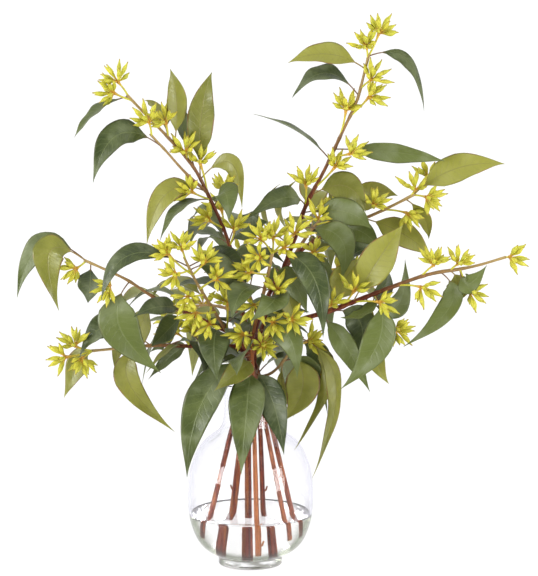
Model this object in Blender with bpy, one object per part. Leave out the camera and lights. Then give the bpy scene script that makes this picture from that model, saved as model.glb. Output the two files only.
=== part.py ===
# Seeded eucalyptus in a footed glass vase: seven leafy stems stand in clear water.
# Metres, Z up. The origin lies on the vase's axis, on the surface that its foot stands on, and the front faces -Y.
import math
import random

import bmesh
import bpy
from mathutils import Matrix, Vector
from mathutils.bvhtree import BVHTree

MM = 0.001
GAP = 0.3 * MM  # between pieces that touch
Z_AXIS = Vector((0, 0, 1))

# Vase, in millimetres: radius and height of the outer wall, from the foot to the rim
VASE_OUTLINE = [
    (31.6, 0.0), (32.6, 1.2), (32.6, 7.6), (34.0, 9.2), (43.2, 14.0), (51.4, 21.8), (57.4, 33.0),
    (62.0, 49.0), (63.5, 68.0), (62.6, 88.0), (60.0, 101.0), (55.0, 114.0), (47.8, 125.0),
    (38.6, 132.5), (31.0, 139.0), (27.6, 147.0), (26.4, 160.0), (26.6, 184.0),
]
VASE_WALL = 2.4
VASE_FLOOR = 11.5  # top of the solid glass foot
FLOOR_RADIUS = 25.0
WATER_TOP = 52.0
TURNS = 24  # sides of the vase and the water

# The front view, in millimetres: a sheet seen from far in front and a little above, measured from its left and top
VIEW_DISTANCE = 3500.0
VIEW_TILT = math.radians(9.0)
VIEW_CENTRE = Vector((0, 0, 300))
SHEET_CENTRE = Vector((250.5, 270.1))  # where VIEW_CENTRE lies on the sheet
FORWARD = Vector((0, math.cos(VIEW_TILT), -math.sin(VIEW_TILT)))
UPWARD = Vector((0, math.sin(VIEW_TILT), math.cos(VIEW_TILT)))
EYE = VIEW_CENTRE - FORWARD * VIEW_DISTANCE

# Wood, in millimetres
STEM_TIP = 1.3
FOOT_RADIUS = {  # at the cut end
    "stem_tall": 3.0,
    "stem_upper_left": 2.7,
    "stem_upper_right": 4.0,
    "stem_right": 4.0,
    "stem_left": 2.7,
    "stem_lower_left": 3.1,
    "stem_front": 2.9,
}
TWIG_RADIUS = (1.7, 1.1)
STEM_SIDES = 5
TWIG_SIDES = 4
ROOT_DEPTH = 2.2 * MM  # how far from the end of a stem or twig the last leaf or head starts

# A leaf: share of the midrib, half width as a share of the whole, and half thickness in millimetres
LEAF_RINGS = [(0.00, 0.00, 0.70), (0.15, 0.08, 0.65), (0.33, 0.93, 0.55), (0.57, 1.00, 0.50), (0.80, 0.58, 0.45)]
PETIOLE_HALF = 0.75
LEAF_FOLD = 0.20  # how far each half rises from the midrib, as a share of its width
LEAF_FACING = Vector((0, -0.86, 0.5))  # blades turn to the front and to the sky

# A head of seed pods, in millimetres
HUB_RADIUS = 2.4
PODS = 7
POD_LENGTH = (18.5, 24.5)
POD_RADIUS = 2.9
POD_BELLY = 0.56  # share of the pod's length at its widest
STALK_RADIUS = 0.95

# How a leaf or a head may turn about its root to find free room: swing about the vertical, then tilt, in degrees
SWINGS = (0, 8, -8, 16, -16, 25, -25, 36, -36, 50, -50)
TILTS = (0, 9, -9, 18, -18, 30, -30)
TURNS_TRIED = sorted(((s, t) for s in SWINGS for t in TILTS), key=lambda turn: abs(turn[0]) + 2.2 * abs(turn[1]))
CLEARANCE = 1.2  # kept round a new leaf, in millimetres

COLOURS = {  # colour, roughness and transmission of each material
    "glass": ((0.93, 0.95, 0.97), 0.03, 1.0),
    "water": ((0.95, 0.96, 0.94), 0.02, 1.0),
    "bark": ((0.24, 0.085, 0.055), 0.6, 0.0),
    "leaf_green": ((0.095, 0.16, 0.075), 0.5, 0.0),
    "leaf_olive": ((0.27, 0.30, 0.075), 0.5, 0.0),
    "pod": ((0.55, 0.53, 0.075), 0.55, 0.0),
}

# Each stem: its cut end, then its way through the neck, as x, y, z in millimetres; then its crown on the front
# view, as across, down and depth. A twig starts where its parent is nearest to "start".
# A leaf is: where it grows on the front view; the middle and the tip of its midrib, as across, down and depth from
# its root; its width; its roll; and its tone. A head of pods is: where it grows; its hub, the same way; its aim.
STEMS = {
    "stem_tall": {
        "foot": [(-45, -23, 33), (-12, 6, 165), (-6, 8.5, 184)],
        "crown": [(253, 352, 10), (266, 318, 14), (281, 275, 14), (296, 236, 10), (305, 205, 6), (325, 170, 2),
                  (344, 128, -2), (357, 103, -5), (364, 74, -8), (369, 54, -10)],
        "twigs": {
            "back": {"start": (281, 275), "route": [(300, 268, 45), (326, 270, 82), (352, 280, 112)]},
        },
        "leaves": [
            ((363, 68), (328, 54, -6), (288, 63, -8), 25, 10, "olive"),
            ((359, 93), (325, 73, -10), (292, 98, -14), 22, 25, "green"),
            ((371, 54), (408, 60, -6), (424, 111, -10), 17, 68, "green"),
            ((327, 163), (297, 131, 0), (253, 114, -4), 20, 60, "green"),
            ((333, 152), (393, 152, -12), (445, 161, -16), 21, 50, "green"),
            ((305, 209), (284, 198, -16), (246, 219, -20), 26, 15, "green"),
            ((312, 192), (345, 186, -6), (366, 212, -10), 28, 15, "olive"),
            ((303, 213), (345, 212, -20), (371, 229, -30), 27, 12, "green"),
            ((299, 228), (340, 238, -38), (341, 280, -48), 27, 5, "green"),
            ((296, 236), (277, 208, 14), (297, 180, 12), 14, 60, "olive"),
            ((292, 246), (262, 214, 18), (280, 184, 14), 14, 65, "olive"),
            ((284, 268), (317, 262, -8), (336, 292, -14), 20, 45, "green"),
        ],
        "heads": [
            ((369, 54), (379, 33, 0), (0.25, -1, -0.2)),
            ((368, 58), (367, 47, -4), (-0.15, -1, -0.5)),
            ((363, 92), (371, 80, -6), (0.5, -0.85, -0.2)),
            ((351, 118), (369, 97, -8), (0.9, -0.45, -0.2)),
            ((341, 135), (346, 110, -6), (0.05, -1, -0.2)),
            ((315, 188), (335, 167, -10), (0.45, -0.85, -0.2)),
            ((330, 160), (350, 154, -16), (0.75, -0.6, -0.2)),
            ((304, 207), (306, 185, -12), (0, -1, -0.2)),
            ((301, 222), (318, 219, -14), (0.05, -1, -0.2)),
            ((290, 252), (314, 253, -20), (0.3, -0.4, -0.8)),
        ],
    },
    "stem_upper_left": {
        "foot": [(47, -19, 33), (15, 9, 165), (9, 14, 184)],
        "crown": [(254, 352, 18), (243, 315, 16), (236, 275, 6), (230, 245, -4), (221, 222, -10), (207, 192, -16),
                  (194, 166, -22), (168, 137, -28), (147, 116, -32), (127, 95, -36)],
        "twigs": {
            "fork": {"start": (207, 194), "route": [(185, 173, -26), (167, 152, -34), (150, 134, -38)]},
            "back": {"start": (243, 315), "route": [(222, 306, 48), (196, 305, 82), (168, 312, 106)]},
        },
        "leaves": [
            ((120, 97), (98, 110, -6), (74, 138, -10), 22, 50, "green"),
            ((164, 146), (118, 135, -14), (93, 183, -22), 29, 8, "green"),
            ((170, 138), (155, 112, 12), (138, 101, 18), 20, 40, "olive"),
            ((172, 141), (171, 103, -4), (160, 71, -8), 20, 10, "olive"),
            ((193, 164), (180, 120, 10), (172, 93, 14), 20, 45, "green"),
            ((200, 176), (201, 118, -8), (212, 72, -10), 26, 0, "olive"),
            ((199, 176), (232, 164, 8), (243, 210, 4), 18, 15, "olive"),
            ((213, 203), (225, 193, -24), (229, 222, -38), 27, 0, "green"),
            ((205, 190), (168, 194, -10), (148, 246, -14), 25, 10, "olive"),
            ((210, 200), (180, 208, -16), (160, 241, -22), 20, 45, "green"),
            ((230, 248), (246, 228, 10), (268, 222, 14), 26, 20, "green"),
            ((229, 243), (202, 232, 14), (178, 241, 18), 20, 45, "green"),
        ],
        "heads": [
            ((127, 95), (118, 82, -3), (-0.25, -1, -0.2)),
            ((130, 99), (114, 93, -4), (-1, -0.2, -0.3)),
            ((150, 134), (147, 122, -4), (-0.5, -0.8, -0.2)),
            ((165, 135), (163, 124, -4), (-0.7, -0.6, -0.3)),
            ((190, 163), (183, 152, -4), (-0.5, -0.8, -0.3)),
            ((208, 194), (200, 163, -6), (0.1, -1, -0.3)),
            ((211, 200), (192, 192, -8), (-0.75, -0.6, -0.3)),
            ((215, 208), (224, 190, 10), (0.15, -1, 0.1)),
            ((222, 226), (209, 220, -10), (-0.8, -0.5, -0.3)),
            ((229, 243), (233, 230, -12), (0.1, -1, -0.2)),
            ((232, 255), (220, 260, -22), (-0.5, -0.2, -0.8)),
        ],
    },
    "stem_upper_right": {
        "foot": [(-2, 15, 15), (-3, 15.5, 165), (-3, 18, 184)],
        "crown": [(250, 352, 25), (258, 318, 34), (278, 275, 40), (305, 245, 38), (338, 229, 30), (373, 215, 20),
                  (396, 204, 12), (415, 194, 6)],
        "twigs": {
            "back": {"start": (258, 318), "route": [(246, 285, 68), (232, 255, 98), (222, 222, 118)]},
            "crest": {"start": (290, 258), "route": [(308, 234, 62), (318, 222, 84), (330, 214, 104)]},
        },
        "leaves": [
            ((415, 194), (455, 169, -8), (505, 164, -12), 28, 10, "olive"),
            ((408, 200), (417, 222, 4), (415, 246, 6), 15, 40, "olive"),
            ((365, 218), (401, 233, -8), (432, 257, -12), 26, 15, "olive"),
            ((345, 226), (368, 195, 8), (398, 196, 10), 26, 25, "olive"),
            ((330, 233), (358, 230, -16), (381, 251, -24), 24, 20, "green"),
            ((312, 242), (300, 222, 10), (281, 222, 14), 16, 40, "olive"),
        ],
        "heads": [
            ((385, 209), (373, 205, -8), (0.5, -0.8, -0.4)),
            ((410, 197), (415, 190, -4), (0.2, -1, -0.2)),
            ((415, 194), (426, 197, -2), (0.9, 0.3, -0.2)),
            ((385, 209), (407, 213, -8), (0.6, 0.7, -0.2)),
            ((415, 194), (431, 179, 2), (0.2, -1, 0)),
            ((345, 226), (339, 211, -6), (0.2, -1, 0)),
        ],
    },
    "stem_right": {
        "foot": [(-22, 7, 15), (-5, -6, 165), (-2, -4.5, 184)],
        "crown": [(251, 355, -6), (262, 338, -14), (290, 322, -30), (331, 311, -44), (353, 302, -50), (397, 285, -54),
                  (430, 273, -55), (470, 268, -52), (506, 257, -50)],
        "twigs": {
            "low": {"start": (249, 378), "route": [(262, 377, -5), (275, 372, -8), (291, 351, -20), (303, 337, -26)]},
        },
        "leaves": [
            ((365, 298), (397, 306, 14), (405, 259, 16), 21, 30, "green"),
            ((440, 271), (450, 305, -8), (401, 346, -12), 23, 20, "green"),
            ((455, 269), (468, 284, -10), (487, 265, -14), 20, 20, "green"),
            ((447, 270), (460, 286, 4), (451, 304, 6), 24, 15, "olive"),
            ((374, 294), (389, 340, -14), (358, 394, -20), 31, 10, "green"),
            ((322, 313), (345, 345, -18), (370, 392, -24), 22, 25, "green"),
            ((333, 311), (360, 322, -6), (358, 367, -8), 28, 15, "green"),
            ((380, 292), (372, 345, 8), (389, 384, 12), 24, 20, "olive"),
            ((381, 291), (364, 311, 4), (338, 314, 6), 18, 40, "green"),
            ((368, 296), (384, 287, 16), (386, 268, 20), 18, 40, "green"),
            ((336, 309), (345, 280, 10), (362, 258, 14), 30, 15, "olive"),
            ((357, 300), (377, 262, -10), (403, 225, -6), 34, 0, "olive"),
            ((290, 353), (303, 385, -6), (284, 421, -8), 34, 5, "olive"),
            ((283, 364), (312, 368, -10), (326, 415, -14), 16, 45, "green"),
            ((299, 342), (330, 372, -2), (295, 450, -4), 20, 40, "olive"),
            ((303, 337), (338, 385, -14), (315, 478, -20), 20, 45, "olive"),
            ((297, 345), (318, 352, 8), (325, 387, 10), 22, 30, "green"),
            ((284, 362), (279, 390, 4), (289, 415, 6), 12, 50, "olive"),
        ],
        "heads": [
            ((506, 257), (509, 257, -1), (0.95, 0.15, -0.1)),
            ((425, 275), (434, 265, -4), (0.2, -1, -0.2)),
            ((448, 271), (458, 264, -4), (0.4, -0.9, -0.2)),
            ((455, 269), (470, 292, -6), (0.85, 0.5, -0.2)),
            ((397, 285), (421, 287, -8), (0.5, 0.6, -0.4)),
            ((353, 302), (379, 302, -10), (0.9, 0.15, -0.2)),
            ((342, 307), (354, 291, -8), (0.4, -0.9, -0.2)),
            ((372, 295), (395, 330, -4), (0.6, 0.1, -0.3)),
            ((318, 315), (331, 305, -12), (0.2, -0.9, -0.4)),
            ((291, 351), (308, 341, -6), (0.9, -0.2, -0.3)),
            ((303, 337), (304, 328, -3), (0.1, -1, -0.3)),
        ],
    },
    "stem_left": {
        "foot": [(37.5, -35, 33), (11, -13, 165), (5, -11.5, 184)],
        "crown": [(250, 355, -14), (238, 338, -24), (215, 325, -36), (185, 312, -46), (152, 297, -52), (130, 281, -54),
                  (111, 272, -54), (84, 260, -52)],
        "twigs": {
            "inner": {"start": (225, 331), "route": [(215, 312, -52), (200, 289, -62), (190, 270, -66), (184, 257, -68)]},
        },
        "leaves": [
            ((84, 260), (42, 246, 4), (17, 298, 2), 26, 10, "green"),
            ((84, 260), (50, 252, -10), (59, 311, -14), 32, 5, "olive"),
            ((92, 264), (90, 284, 8), (88, 303, 10), 24, 20, "green"),
            ((188, 266), (130, 255, -4), (101, 301, -8), 22, 15, "green"),
            ((130, 281), (119, 325, -10), (161, 373, -14), 38, 5, "green"),
            ((185, 311), (158, 306, -12), (131, 316, -16), 22, 15, "green"),
            ((150, 296), (140, 330, 14), (128, 362, 18), 26, 20, "olive"),
            ((191, 272), (214, 270, -16), (240, 301, -22), 26, 10, "green"),
            ((188, 266), (226, 262, -10), (250, 291, -14), 24, 15, "green"),
            ((219, 327), (214, 342, -24), (217, 381, -32), 31, 0, "green"),
            ((186, 312), (169, 329, 12), (151, 347, 16), 24, 15, "green"),
        ],
        "heads": [
            ((84, 260), (77, 268, 4), (-0.8, 0.4, 0.1)),
            ((111, 272), (110, 286, -4), (-0.7, 0.6, -0.2)),
            ((190, 272), (176, 274, -12), (-0.6, 0.1, -0.7)),
            ((203, 292), (188, 296, -12), (-0.3, 0.2, -0.9)),
            ((215, 312), (196, 313, -14), (-0.8, 0.1, -0.6)),
            ((184, 257), (182, 250, -4), (-0.1, -1, -0.3)),
            ((192, 274), (204, 263, -10), (0, -1, -0.3)),
            ((224, 330), (227, 303, -18), (0, -1, -0.4)),
            ((211, 306), (203, 322, -12), (-0.8, 0.1, -0.5)),
            ((200, 288), (216, 279, -14), (0.5, -0.5, -0.7)),
            ((192, 274), (168, 254, -6), (-0.6, -0.7, -0.3)),
        ],
    },
    "stem_lower_left": {
        "foot": [(14, 22, 16), (9, 0, 165), (6, 2, 184)],
        "crown": [(250, 357, 3), (236, 345, 6), (215, 347, 10), (190, 346, 12), (150, 345, 8), (112, 349, 2),
                  (90, 351, 0)],
        "twigs": {
            "back": {"start": (236, 345), "route": [(243, 344, 42), (252, 338, 80), (264, 338, 112)]},
        },
        "leaves": [
            ((130, 346), (104, 326, -6), (78, 356, -8), 28, 20, "green"),
            ((118, 348), (112, 330, 8), (84, 345, 12), 24, 25, "green"),
            ((92, 351), (80, 362, -8), (64, 398, -12), 25, 10, "olive"),
            ((150, 345), (122, 338, 6), (114, 374, 10), 24, 30, "olive"),
            ((146, 345), (127, 377, -8), (175, 432, -12), 25, 15, "olive"),
            ((192, 346), (175, 354, -4), (147, 383, -8), 20, 25, "green"),
            ((180, 346), (168, 350, -14), (146, 373, -18), 12, 45, "olive"),
            ((175, 346), (166, 342, 10), (150, 352, 14), 20, 20, "green"),
        ],
        "heads": [
            ((90, 351), (75, 346, -6), (-0.5, -1, -0.2)),
            ((90, 351), (66, 357, -10), (-1, 0.05, -0.2)),
            ((92, 351), (82, 358, -8), (0.1, 1, -0.3)),
            ((200, 347), (194, 332, -16), (-0.2, -0.9, -0.5)),
            ((190, 346), (177, 333, -16), (-0.8, -0.5, -0.4)),
        ],
    },
    "stem_front": {
        "foot": [(7, -31, 20), (3, -18.5, 165), (2, -18, 184)],
        "crown": [(252, 360, -26), (252, 335, -40), (262, 300, -54), (270, 266, -58), (273, 250, -58)],
        "twigs": {},
        "leaves": [
            ((273, 252), (312, 274, -14), (323, 338, -18), 27, 10, "green"),
            ((267, 282), (288, 282, -10), (305, 316, -14), 26, 10, "green"),
            ((263, 298), (266, 300, -30), (236, 321, -44), 28, 0, "green"),
            ((253, 333), (277, 335, -26), (287, 382, -32), 28, 5, "green"),
            ((265, 288), (281, 296, -14), (290, 340, -18), 26, 10, "olive"),
            ((252, 360), (240, 370, -22), (214, 391, -34), 24, 0, "olive"),
            ((252, 366), (247, 404, -30), (241, 475, -52), 35, 5, "green"),
            ((253, 366), (272, 400, -28), (284, 455, -46), 28, 15, "green"),
            ((251, 352), (204, 398, -22), (187, 478, -34), 34, 5, "green"),
        ],
        "heads": [
            ((270, 264), (260, 257, -16), (-0.4, -0.2, -0.9)),
            ((273, 252), (284, 248, -14), (0.4, -0.4, -0.8)),
            ((273, 250), (273, 238, -6), (0, -1, -0.3)),
            ((266, 284), (277, 290, -12), (0.1, -0.9, -0.5)),
            ((251, 345), (262, 345, -14), (0.3, 0.1, -0.9)),
            ((267, 275), (250, 272, -8), (-0.7, -0.2, -0.6)),
            ((272, 254), (258, 239, -10), (-0.5, -0.8, -0.4)),
            ((272, 256), (292, 235, -10), (0.4, -0.9, -0.3)),
            ((263, 296), (254, 305, -16), (-0.4, 0.4, -0.8)),
            ((257, 316), (273, 322, -16), (0.5, 0.4, -0.8)),
            ((253, 331), (244, 334, -18), (-0.4, 0.3, -0.8)),
            ((258, 312), (291, 319, -22), (0.6, 0, -0.6)),
        ],
    },
}

# The twigs at the back, which the front view hides: leaves and heads follow each other round the twig
BACK_TWIGS = ("back", "crest")
BACK_LEAVES = 6
BACK_HEADS = 2
BACK_LEAF_LENGTH = (70, 92)
BACK_LEAF_WIDTH = (24, 31)
GOLDEN_ANGLE = math.radians(137.5)
INNER_LEAVES = 4  # on each stem, low in the crown
INNER_SPAN = (8, 115)  # how far above the neck the lowest and the highest of them grow, in millimetres
INNER_LEAF_LENGTH = (58, 80)


def seen(across, down, depth):
    """The point at a depth behind the vase's axis that the front view shows at this place of its sheet."""
    on_sheet = VIEW_CENTRE + Vector((across - SHEET_CENTRE.x, 0, 0)) + UPWARD * (SHEET_CENTRE.y - down)
    sight = on_sheet - EYE
    return (EYE + sight * ((depth - EYE.y) / sight.y)) * MM


def on_sheet(point):
    """Where the front view shows a point."""
    sight = point / MM - EYE
    sight *= VIEW_DISTANCE / sight.dot(FORWARD)
    flat = EYE + sight - VIEW_CENTRE
    return Vector((SHEET_CENTRE.x + flat.x, SHEET_CENTRE.y - flat.dot(UPWARD)))


def nearest_place(lines, place):
    """The point that the front view shows nearest to a place, on one of the lines and a little inside its ends."""
    best = None
    for line in lines:
        for a, b in zip(line, line[1:]):
            for step in range(5):
                point = a.lerp(b, step / 4)
                apart = (on_sheet(point) - Vector(place)).length
                if best is None or apart < best[0]:
                    best = (apart, point, line)
    point, line = best[1:]
    if (line[-1] - point).length < ROOT_DEPTH:
        point = line[-1] + (line[-2] - line[-1]).normalized() * ROOT_DEPTH
    return point


def tube(line, radii, sides):
    """A closed round bar along a line: its points and faces. radii are those at its two ends."""
    points, faces = [], []
    side = None
    for index, centre in enumerate(line):
        before, after = line[max(index - 1, 0)], line[min(index + 1, len(line) - 1)]
        along = (after - before).normalized()
        if side is None:
            side = along.orthogonal().normalized()
        side = (side - along * side.dot(along)).normalized()
        other = along.cross(side)
        radius = radii[0] + (radii[1] - radii[0]) * index / (len(line) - 1)
        for corner in range(sides):
            turn = 2 * math.pi * corner / sides
            points.append(centre + (side * math.cos(turn) + other * math.sin(turn)) * radius)
    for ring in range(len(line) - 1):
        for corner in range(sides):
            a, b = ring * sides + corner, ring * sides + (corner + 1) % sides
            faces.append((a, b, b + sides, a + sides))
    faces.append(tuple(reversed(range(sides))))
    faces.append(tuple(range(len(points) - sides, len(points))))
    return points, faces


def turned(profile, turns):
    """A solid of revolution: profile is radius and height up one side, from the axis to the axis."""
    points, faces, rings = [], [], []
    for radius, height in profile:
        start = len(points)
        if radius < 1e-9:
            points.append(Vector((0, 0, height)))
            rings.append([start] * turns)
            continue
        for corner in range(turns):
            turn = 2 * math.pi * corner / turns
            points.append(Vector((radius * math.cos(turn), radius * math.sin(turn), height)))
        rings.append(list(range(start, start + turns)))
    for low, high in zip(rings, rings[1:]):
        for corner in range(turns):
            after = (corner + 1) % turns
            face = dict.fromkeys((low[corner], low[after], high[after], high[corner]))
            faces.append(tuple(face))
    return points, faces


def inner_wall(outline, wall):
    """The outline moved in by the wall's thickness."""
    moved = []
    for index, (radius, height) in enumerate(outline):
        r0, h0 = outline[max(index - 1, 0)]
        r1, h1 = outline[min(index + 1, len(outline) - 1)]
        length = math.hypot(r1 - r0, h1 - h0)
        moved.append((radius - (h1 - h0) / length * wall, height + (r1 - r0) / length * wall))
    return moved


def material(name):
    found = bpy.data.materials.get(name)
    if found is None:
        colour, roughness, transmission = COLOURS[name]
        found = bpy.data.materials.new(name)
        found.use_nodes = True
        found.diffuse_color = (*colour, 1)
        shader = found.node_tree.nodes["Principled BSDF"]
        shader.inputs["Base Color"].default_value = (*colour, 1)
        shader.inputs["Roughness"].default_value = roughness
        shader.inputs["Metallic"].default_value = 0.0
        shader.inputs["Transmission Weight"].default_value = transmission
    return found


def add_object(name, points, faces, look, collection=None):
    mesh = bpy.data.meshes.new(name)
    mesh.from_pydata(points, [], faces)
    mesh.update()
    mesh.materials.append(material(look))
    obj = bpy.data.objects.new(name, mesh)
    (collection or bpy.context.scene.collection).objects.link(obj)
    return obj


def use_boolean(obj, operation, collection):
    """Joins or cuts the collection's objects, then removes them."""
    modifier = obj.modifiers.new(operation.lower(), "BOOLEAN")
    modifier.operation = operation
    modifier.operand_type = "COLLECTION"
    modifier.collection = collection
    modifier.solver = "EXACT" if operation == "DIFFERENCE" else "MANIFOLD"
    modifier.material_mode = "TRANSFER"
    bpy.context.view_layer.update()
    graph = bpy.context.evaluated_depsgraph_get()
    made = bpy.data.meshes.new_from_object(obj.evaluated_get(graph))
    obj.modifiers.clear()
    obj.data = made
    for other in list(collection.objects):
        bpy.data.objects.remove(other)
    bpy.data.collections.remove(collection)


def new_collection(name):
    collection = bpy.data.collections.new(name)
    bpy.context.scene.collection.children.link(collection)
    return collection


def midrib(root, middle, tip, share):
    """The point and the way on at a share of a curve from root through middle to tip."""
    bend = middle * 2 - (root + tip) * 0.5
    point = root * (1 - share) ** 2 + bend * (2 * share * (1 - share)) + tip * share**2
    along = ((bend - root) * (1 - share) + (tip - bend) * share).normalized()
    return point, along


def leaf_mesh(root, middle, tip, width, roll, facing, extra=0.0):
    """A closed, folded blade on its stalk, four corners to a ring and a point at its tip. extra makes it stouter."""
    points, faces = [], []
    for share, half, thick in LEAF_RINGS:
        centre, along = midrib(root, middle, tip, share)
        normal = (facing - along * facing.dot(along)).normalized()
        normal = Matrix.Rotation(math.radians(roll), 3, along) @ normal
        side = normal.cross(along)
        reach = max(width / 2 * half, PETIOLE_HALF) * MM + extra
        rise = normal * (reach * LEAF_FOLD if half > 0.1 else 0)
        deep = normal * (thick * MM + extra)
        points += [centre - side * reach + rise, centre + deep, centre + side * reach + rise, centre - deep]
    last = len(points)
    points.append(midrib(root, middle, tip, 1)[0])
    for ring in range(len(LEAF_RINGS) - 1):
        left, top, right, under = (ring * 4 + corner for corner in range(4))
        faces += [(left, left + 4, top + 4), (left, top + 4, top)]
        faces += [(right, top + 4, right + 4), (right, top, top + 4)]
        faces += [(left, under + 4, left + 4), (left, under, under + 4)]
        faces += [(right, right + 4, under + 4), (right, under + 4, under)]
    left, top, right, under = (last - 4 + corner for corner in range(4))
    faces += [(left, last, top), (top, last, right), (right, last, under), (under, last, left)]
    faces.append((0, 1, 2, 3))
    return points, faces


def head_mesh(root, hub, aim, seed):
    """A round hub with pods drawn out of the faces that look along aim, and its stalk drawn out towards its root."""
    draw = random.Random(seed)
    ball = bmesh.new()
    bmesh.ops.create_icosphere(ball, subdivisions=1, radius=HUB_RADIUS * MM)
    spin = Matrix.Rotation(draw.uniform(0, 2 * math.pi), 4, "Z") @ Matrix.Rotation(draw.uniform(0, 0.6), 4, "X")
    turn = Z_AXIS.rotation_difference(aim).to_matrix().to_4x4()
    bmesh.ops.transform(ball, matrix=Matrix.Translation(hub) @ turn @ spin, verts=ball.verts)
    ball.normal_update()
    stalk_way = (root - hub).normalized()
    ball.faces.ensure_lookup_table()
    by_stalk = max(ball.faces, key=lambda face: face.normal.dot(stalk_way))
    by_aim = sorted((face for face in ball.faces if face != by_stalk), key=lambda face: -face.normal.dot(aim))
    chosen = [(face.index, face.normal.lerp(aim, 0.12).normalized()) for face in by_aim[:PODS]]
    points = [vertex.co.copy() for vertex in ball.verts]
    kept = {index for index, _ in chosen} | {by_stalk.index}
    faces = [tuple(v.index for v in face.verts) for face in ball.faces if face.index not in kept]
    corners = {face.index: [v.index for v in face.verts] for face in ball.faces}
    stalk = by_stalk.index
    ball.free()
    for index, way in chosen:
        length = draw.uniform(*POD_LENGTH) * MM
        belly = grow_ring(points, faces, corners[index], hub + way * length * POD_BELLY, way, POD_RADIUS * MM)
        points.append(hub + way * length)
        tip = len(points) - 1
        faces += [(belly[k], belly[(k + 1) % 3], tip) for k in range(3)]
    ring = grow_ring(points, faces, corners[stalk], root, stalk_way, STALK_RADIUS * MM)
    faces.append(tuple(ring))
    return points, faces


def grow_ring(points, faces, ring, centre, way, radius):
    """Draws a ring of corners on to a new one round a centre, and gives the new one."""
    middle = sum((points[index] for index in ring), Vector()) / len(ring)
    grown = []
    for index in ring:
        out = points[index] - middle
        out = (out - way * out.dot(way)).normalized()
        points.append(centre + out * radius)
        grown.append(len(points) - 1)
    for k in range(len(ring)):
        after = (k + 1) % len(ring)
        faces.append((ring[k], ring[after], grown[after], grown[k]))
    return grown


def turned_about(root, points, swing, tilt):
    """The points turned about the root: by swing about the vertical, and by tilt towards it."""
    out = points[-1] - root
    level = Vector((out.y, -out.x, 0))
    if level.length < 1e-6:
        level = Vector((1, 0, 0))
    turn = Matrix.Rotation(math.radians(swing), 3, "Z") @ Matrix.Rotation(math.radians(tilt), 3, level.normalized())
    return [root + turn @ (point - root) for point in points]


class Room:
    """What already stands in the crown, so that each new piece keeps clear of it."""

    def __init__(self):
        self.taken = []

    def add(self, stem, points, faces):
        low = Vector([min(p[axis] for p in points) for axis in range(3)])
        high = Vector([max(p[axis] for p in points) for axis in range(3)])
        self.taken.append((stem, BVHTree.FromPolygons(points, faces), low, high))

    def is_free(self, points, faces, stem, own_points, own_faces):
        """True if the piece clears all other stems, and its outer part clears its own stem."""
        low = Vector([min(p[axis] for p in points) for axis in range(3)])
        high = Vector([max(p[axis] for p in points) for axis in range(3)])
        whole = BVHTree.FromPolygons(points, faces)
        outer = BVHTree.FromPolygons(own_points, own_faces)
        for owner, tree, floor, top in self.taken:
            if any(low[axis] > top[axis] or high[axis] < floor[axis] for axis in range(3)):
                continue
            if (outer if owner == stem else whole).overlap(tree):
                return False
        return True


def place_leaf(room, stem, root, middle, tip, width, roll, facing):
    """The first way of laying the leaf that is free, or None."""
    for swing, tilt in TURNS_TRIED:
        mid, end = turned_about(root, [middle, tip], swing, tilt)
        points, faces = leaf_mesh(root, mid, end, width, roll, facing, CLEARANCE * MM)
        outer = [face for face in faces if min(face) >= 8]
        if min(p.z for p in points) > 8 * MM and room.is_free(points, faces, stem, points, outer):
            made = leaf_mesh(root, mid, end, width, roll, facing)
            room.add(stem, *made)
            return made
    return None


def place_head(room, stem, root, hub, aim, seed):
    """The first way of laying the head of pods that is free, or None."""
    for swing, tilt in TURNS_TRIED:
        centre, end = turned_about(root, [hub, hub + aim * 10 * MM], swing, tilt)
        points, faces = head_mesh(root, centre, (end - centre).normalized(), seed)
        stalk_end = len(points) - 3
        outer = [face for face in faces if max(face) < stalk_end]
        if room.is_free(points, faces, stem, points, outer):
            room.add(stem, points, faces)
            return points, faces
    return None


def lines_of(stem):
    """The centrelines of a stem and its twigs, by name, with the radii of each."""
    plan = STEMS[stem]
    route = [Vector(point) * MM for point in plan["foot"]] + [seen(*point) for point in plan["crown"]]
    lines = {"main": (route, (FOOT_RADIUS[stem], STEM_TIP), STEM_SIDES)}
    for name, twig in plan["twigs"].items():
        start = nearest_place([lines["main"][0]], twig["start"])
        way = [start] + [seen(*point) for point in twig["route"]]
        lines[name] = (way, TWIG_RADIUS, TWIG_SIDES)
    return lines


def grown_pieces(stem, lines):
    """Leaves and heads on the twigs at the back: they go round the twig, reach outwards and hang a little."""
    leaves, heads = [], []
    for name in BACK_TWIGS:
        if name not in lines:
            continue
        line = lines[name][0]
        draw = random.Random(stem + name)
        for number in range(BACK_LEAVES + BACK_HEADS):
            place = 0.25 + 0.75 * number / (BACK_LEAVES + BACK_HEADS - 1)
            step = min(int(place * (len(line) - 1)), len(line) - 2)
            root = line[step].lerp(line[step + 1], min(place * (len(line) - 1) - step, 0.8))
            along = (line[step + 1] - line[step]).normalized()
            side = along.orthogonal().normalized()
            side = Matrix.Rotation(number * GOLDEN_ANGLE + draw.uniform(-0.3, 0.3), 3, along) @ side
            out = (side + along * 0.7 + Vector((root.x, root.y, 0)).normalized() * 0.7).normalized()
            if number % 4 == 3:
                heads.append((root, root + out * 19 * MM, (out + Z_AXIS * 0.4).normalized()))
                continue
            length = draw.uniform(*BACK_LEAF_LENGTH) * MM
            middle = root + out * length * 0.52 + Z_AXIS * length * 0.06
            tip = root + out * length * 0.86 - Z_AXIS * length * draw.uniform(0.25, 0.55)
            facing = (Vector((out.x, out.y, 0)) * 0.6 + Z_AXIS).normalized()
            width = draw.uniform(*BACK_LEAF_WIDTH)
            tone = "olive" if draw.random() < 0.4 else "green"
            leaves.append((root, middle, tip, width, draw.uniform(-25, 25), facing, tone))
    return leaves, heads


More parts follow.
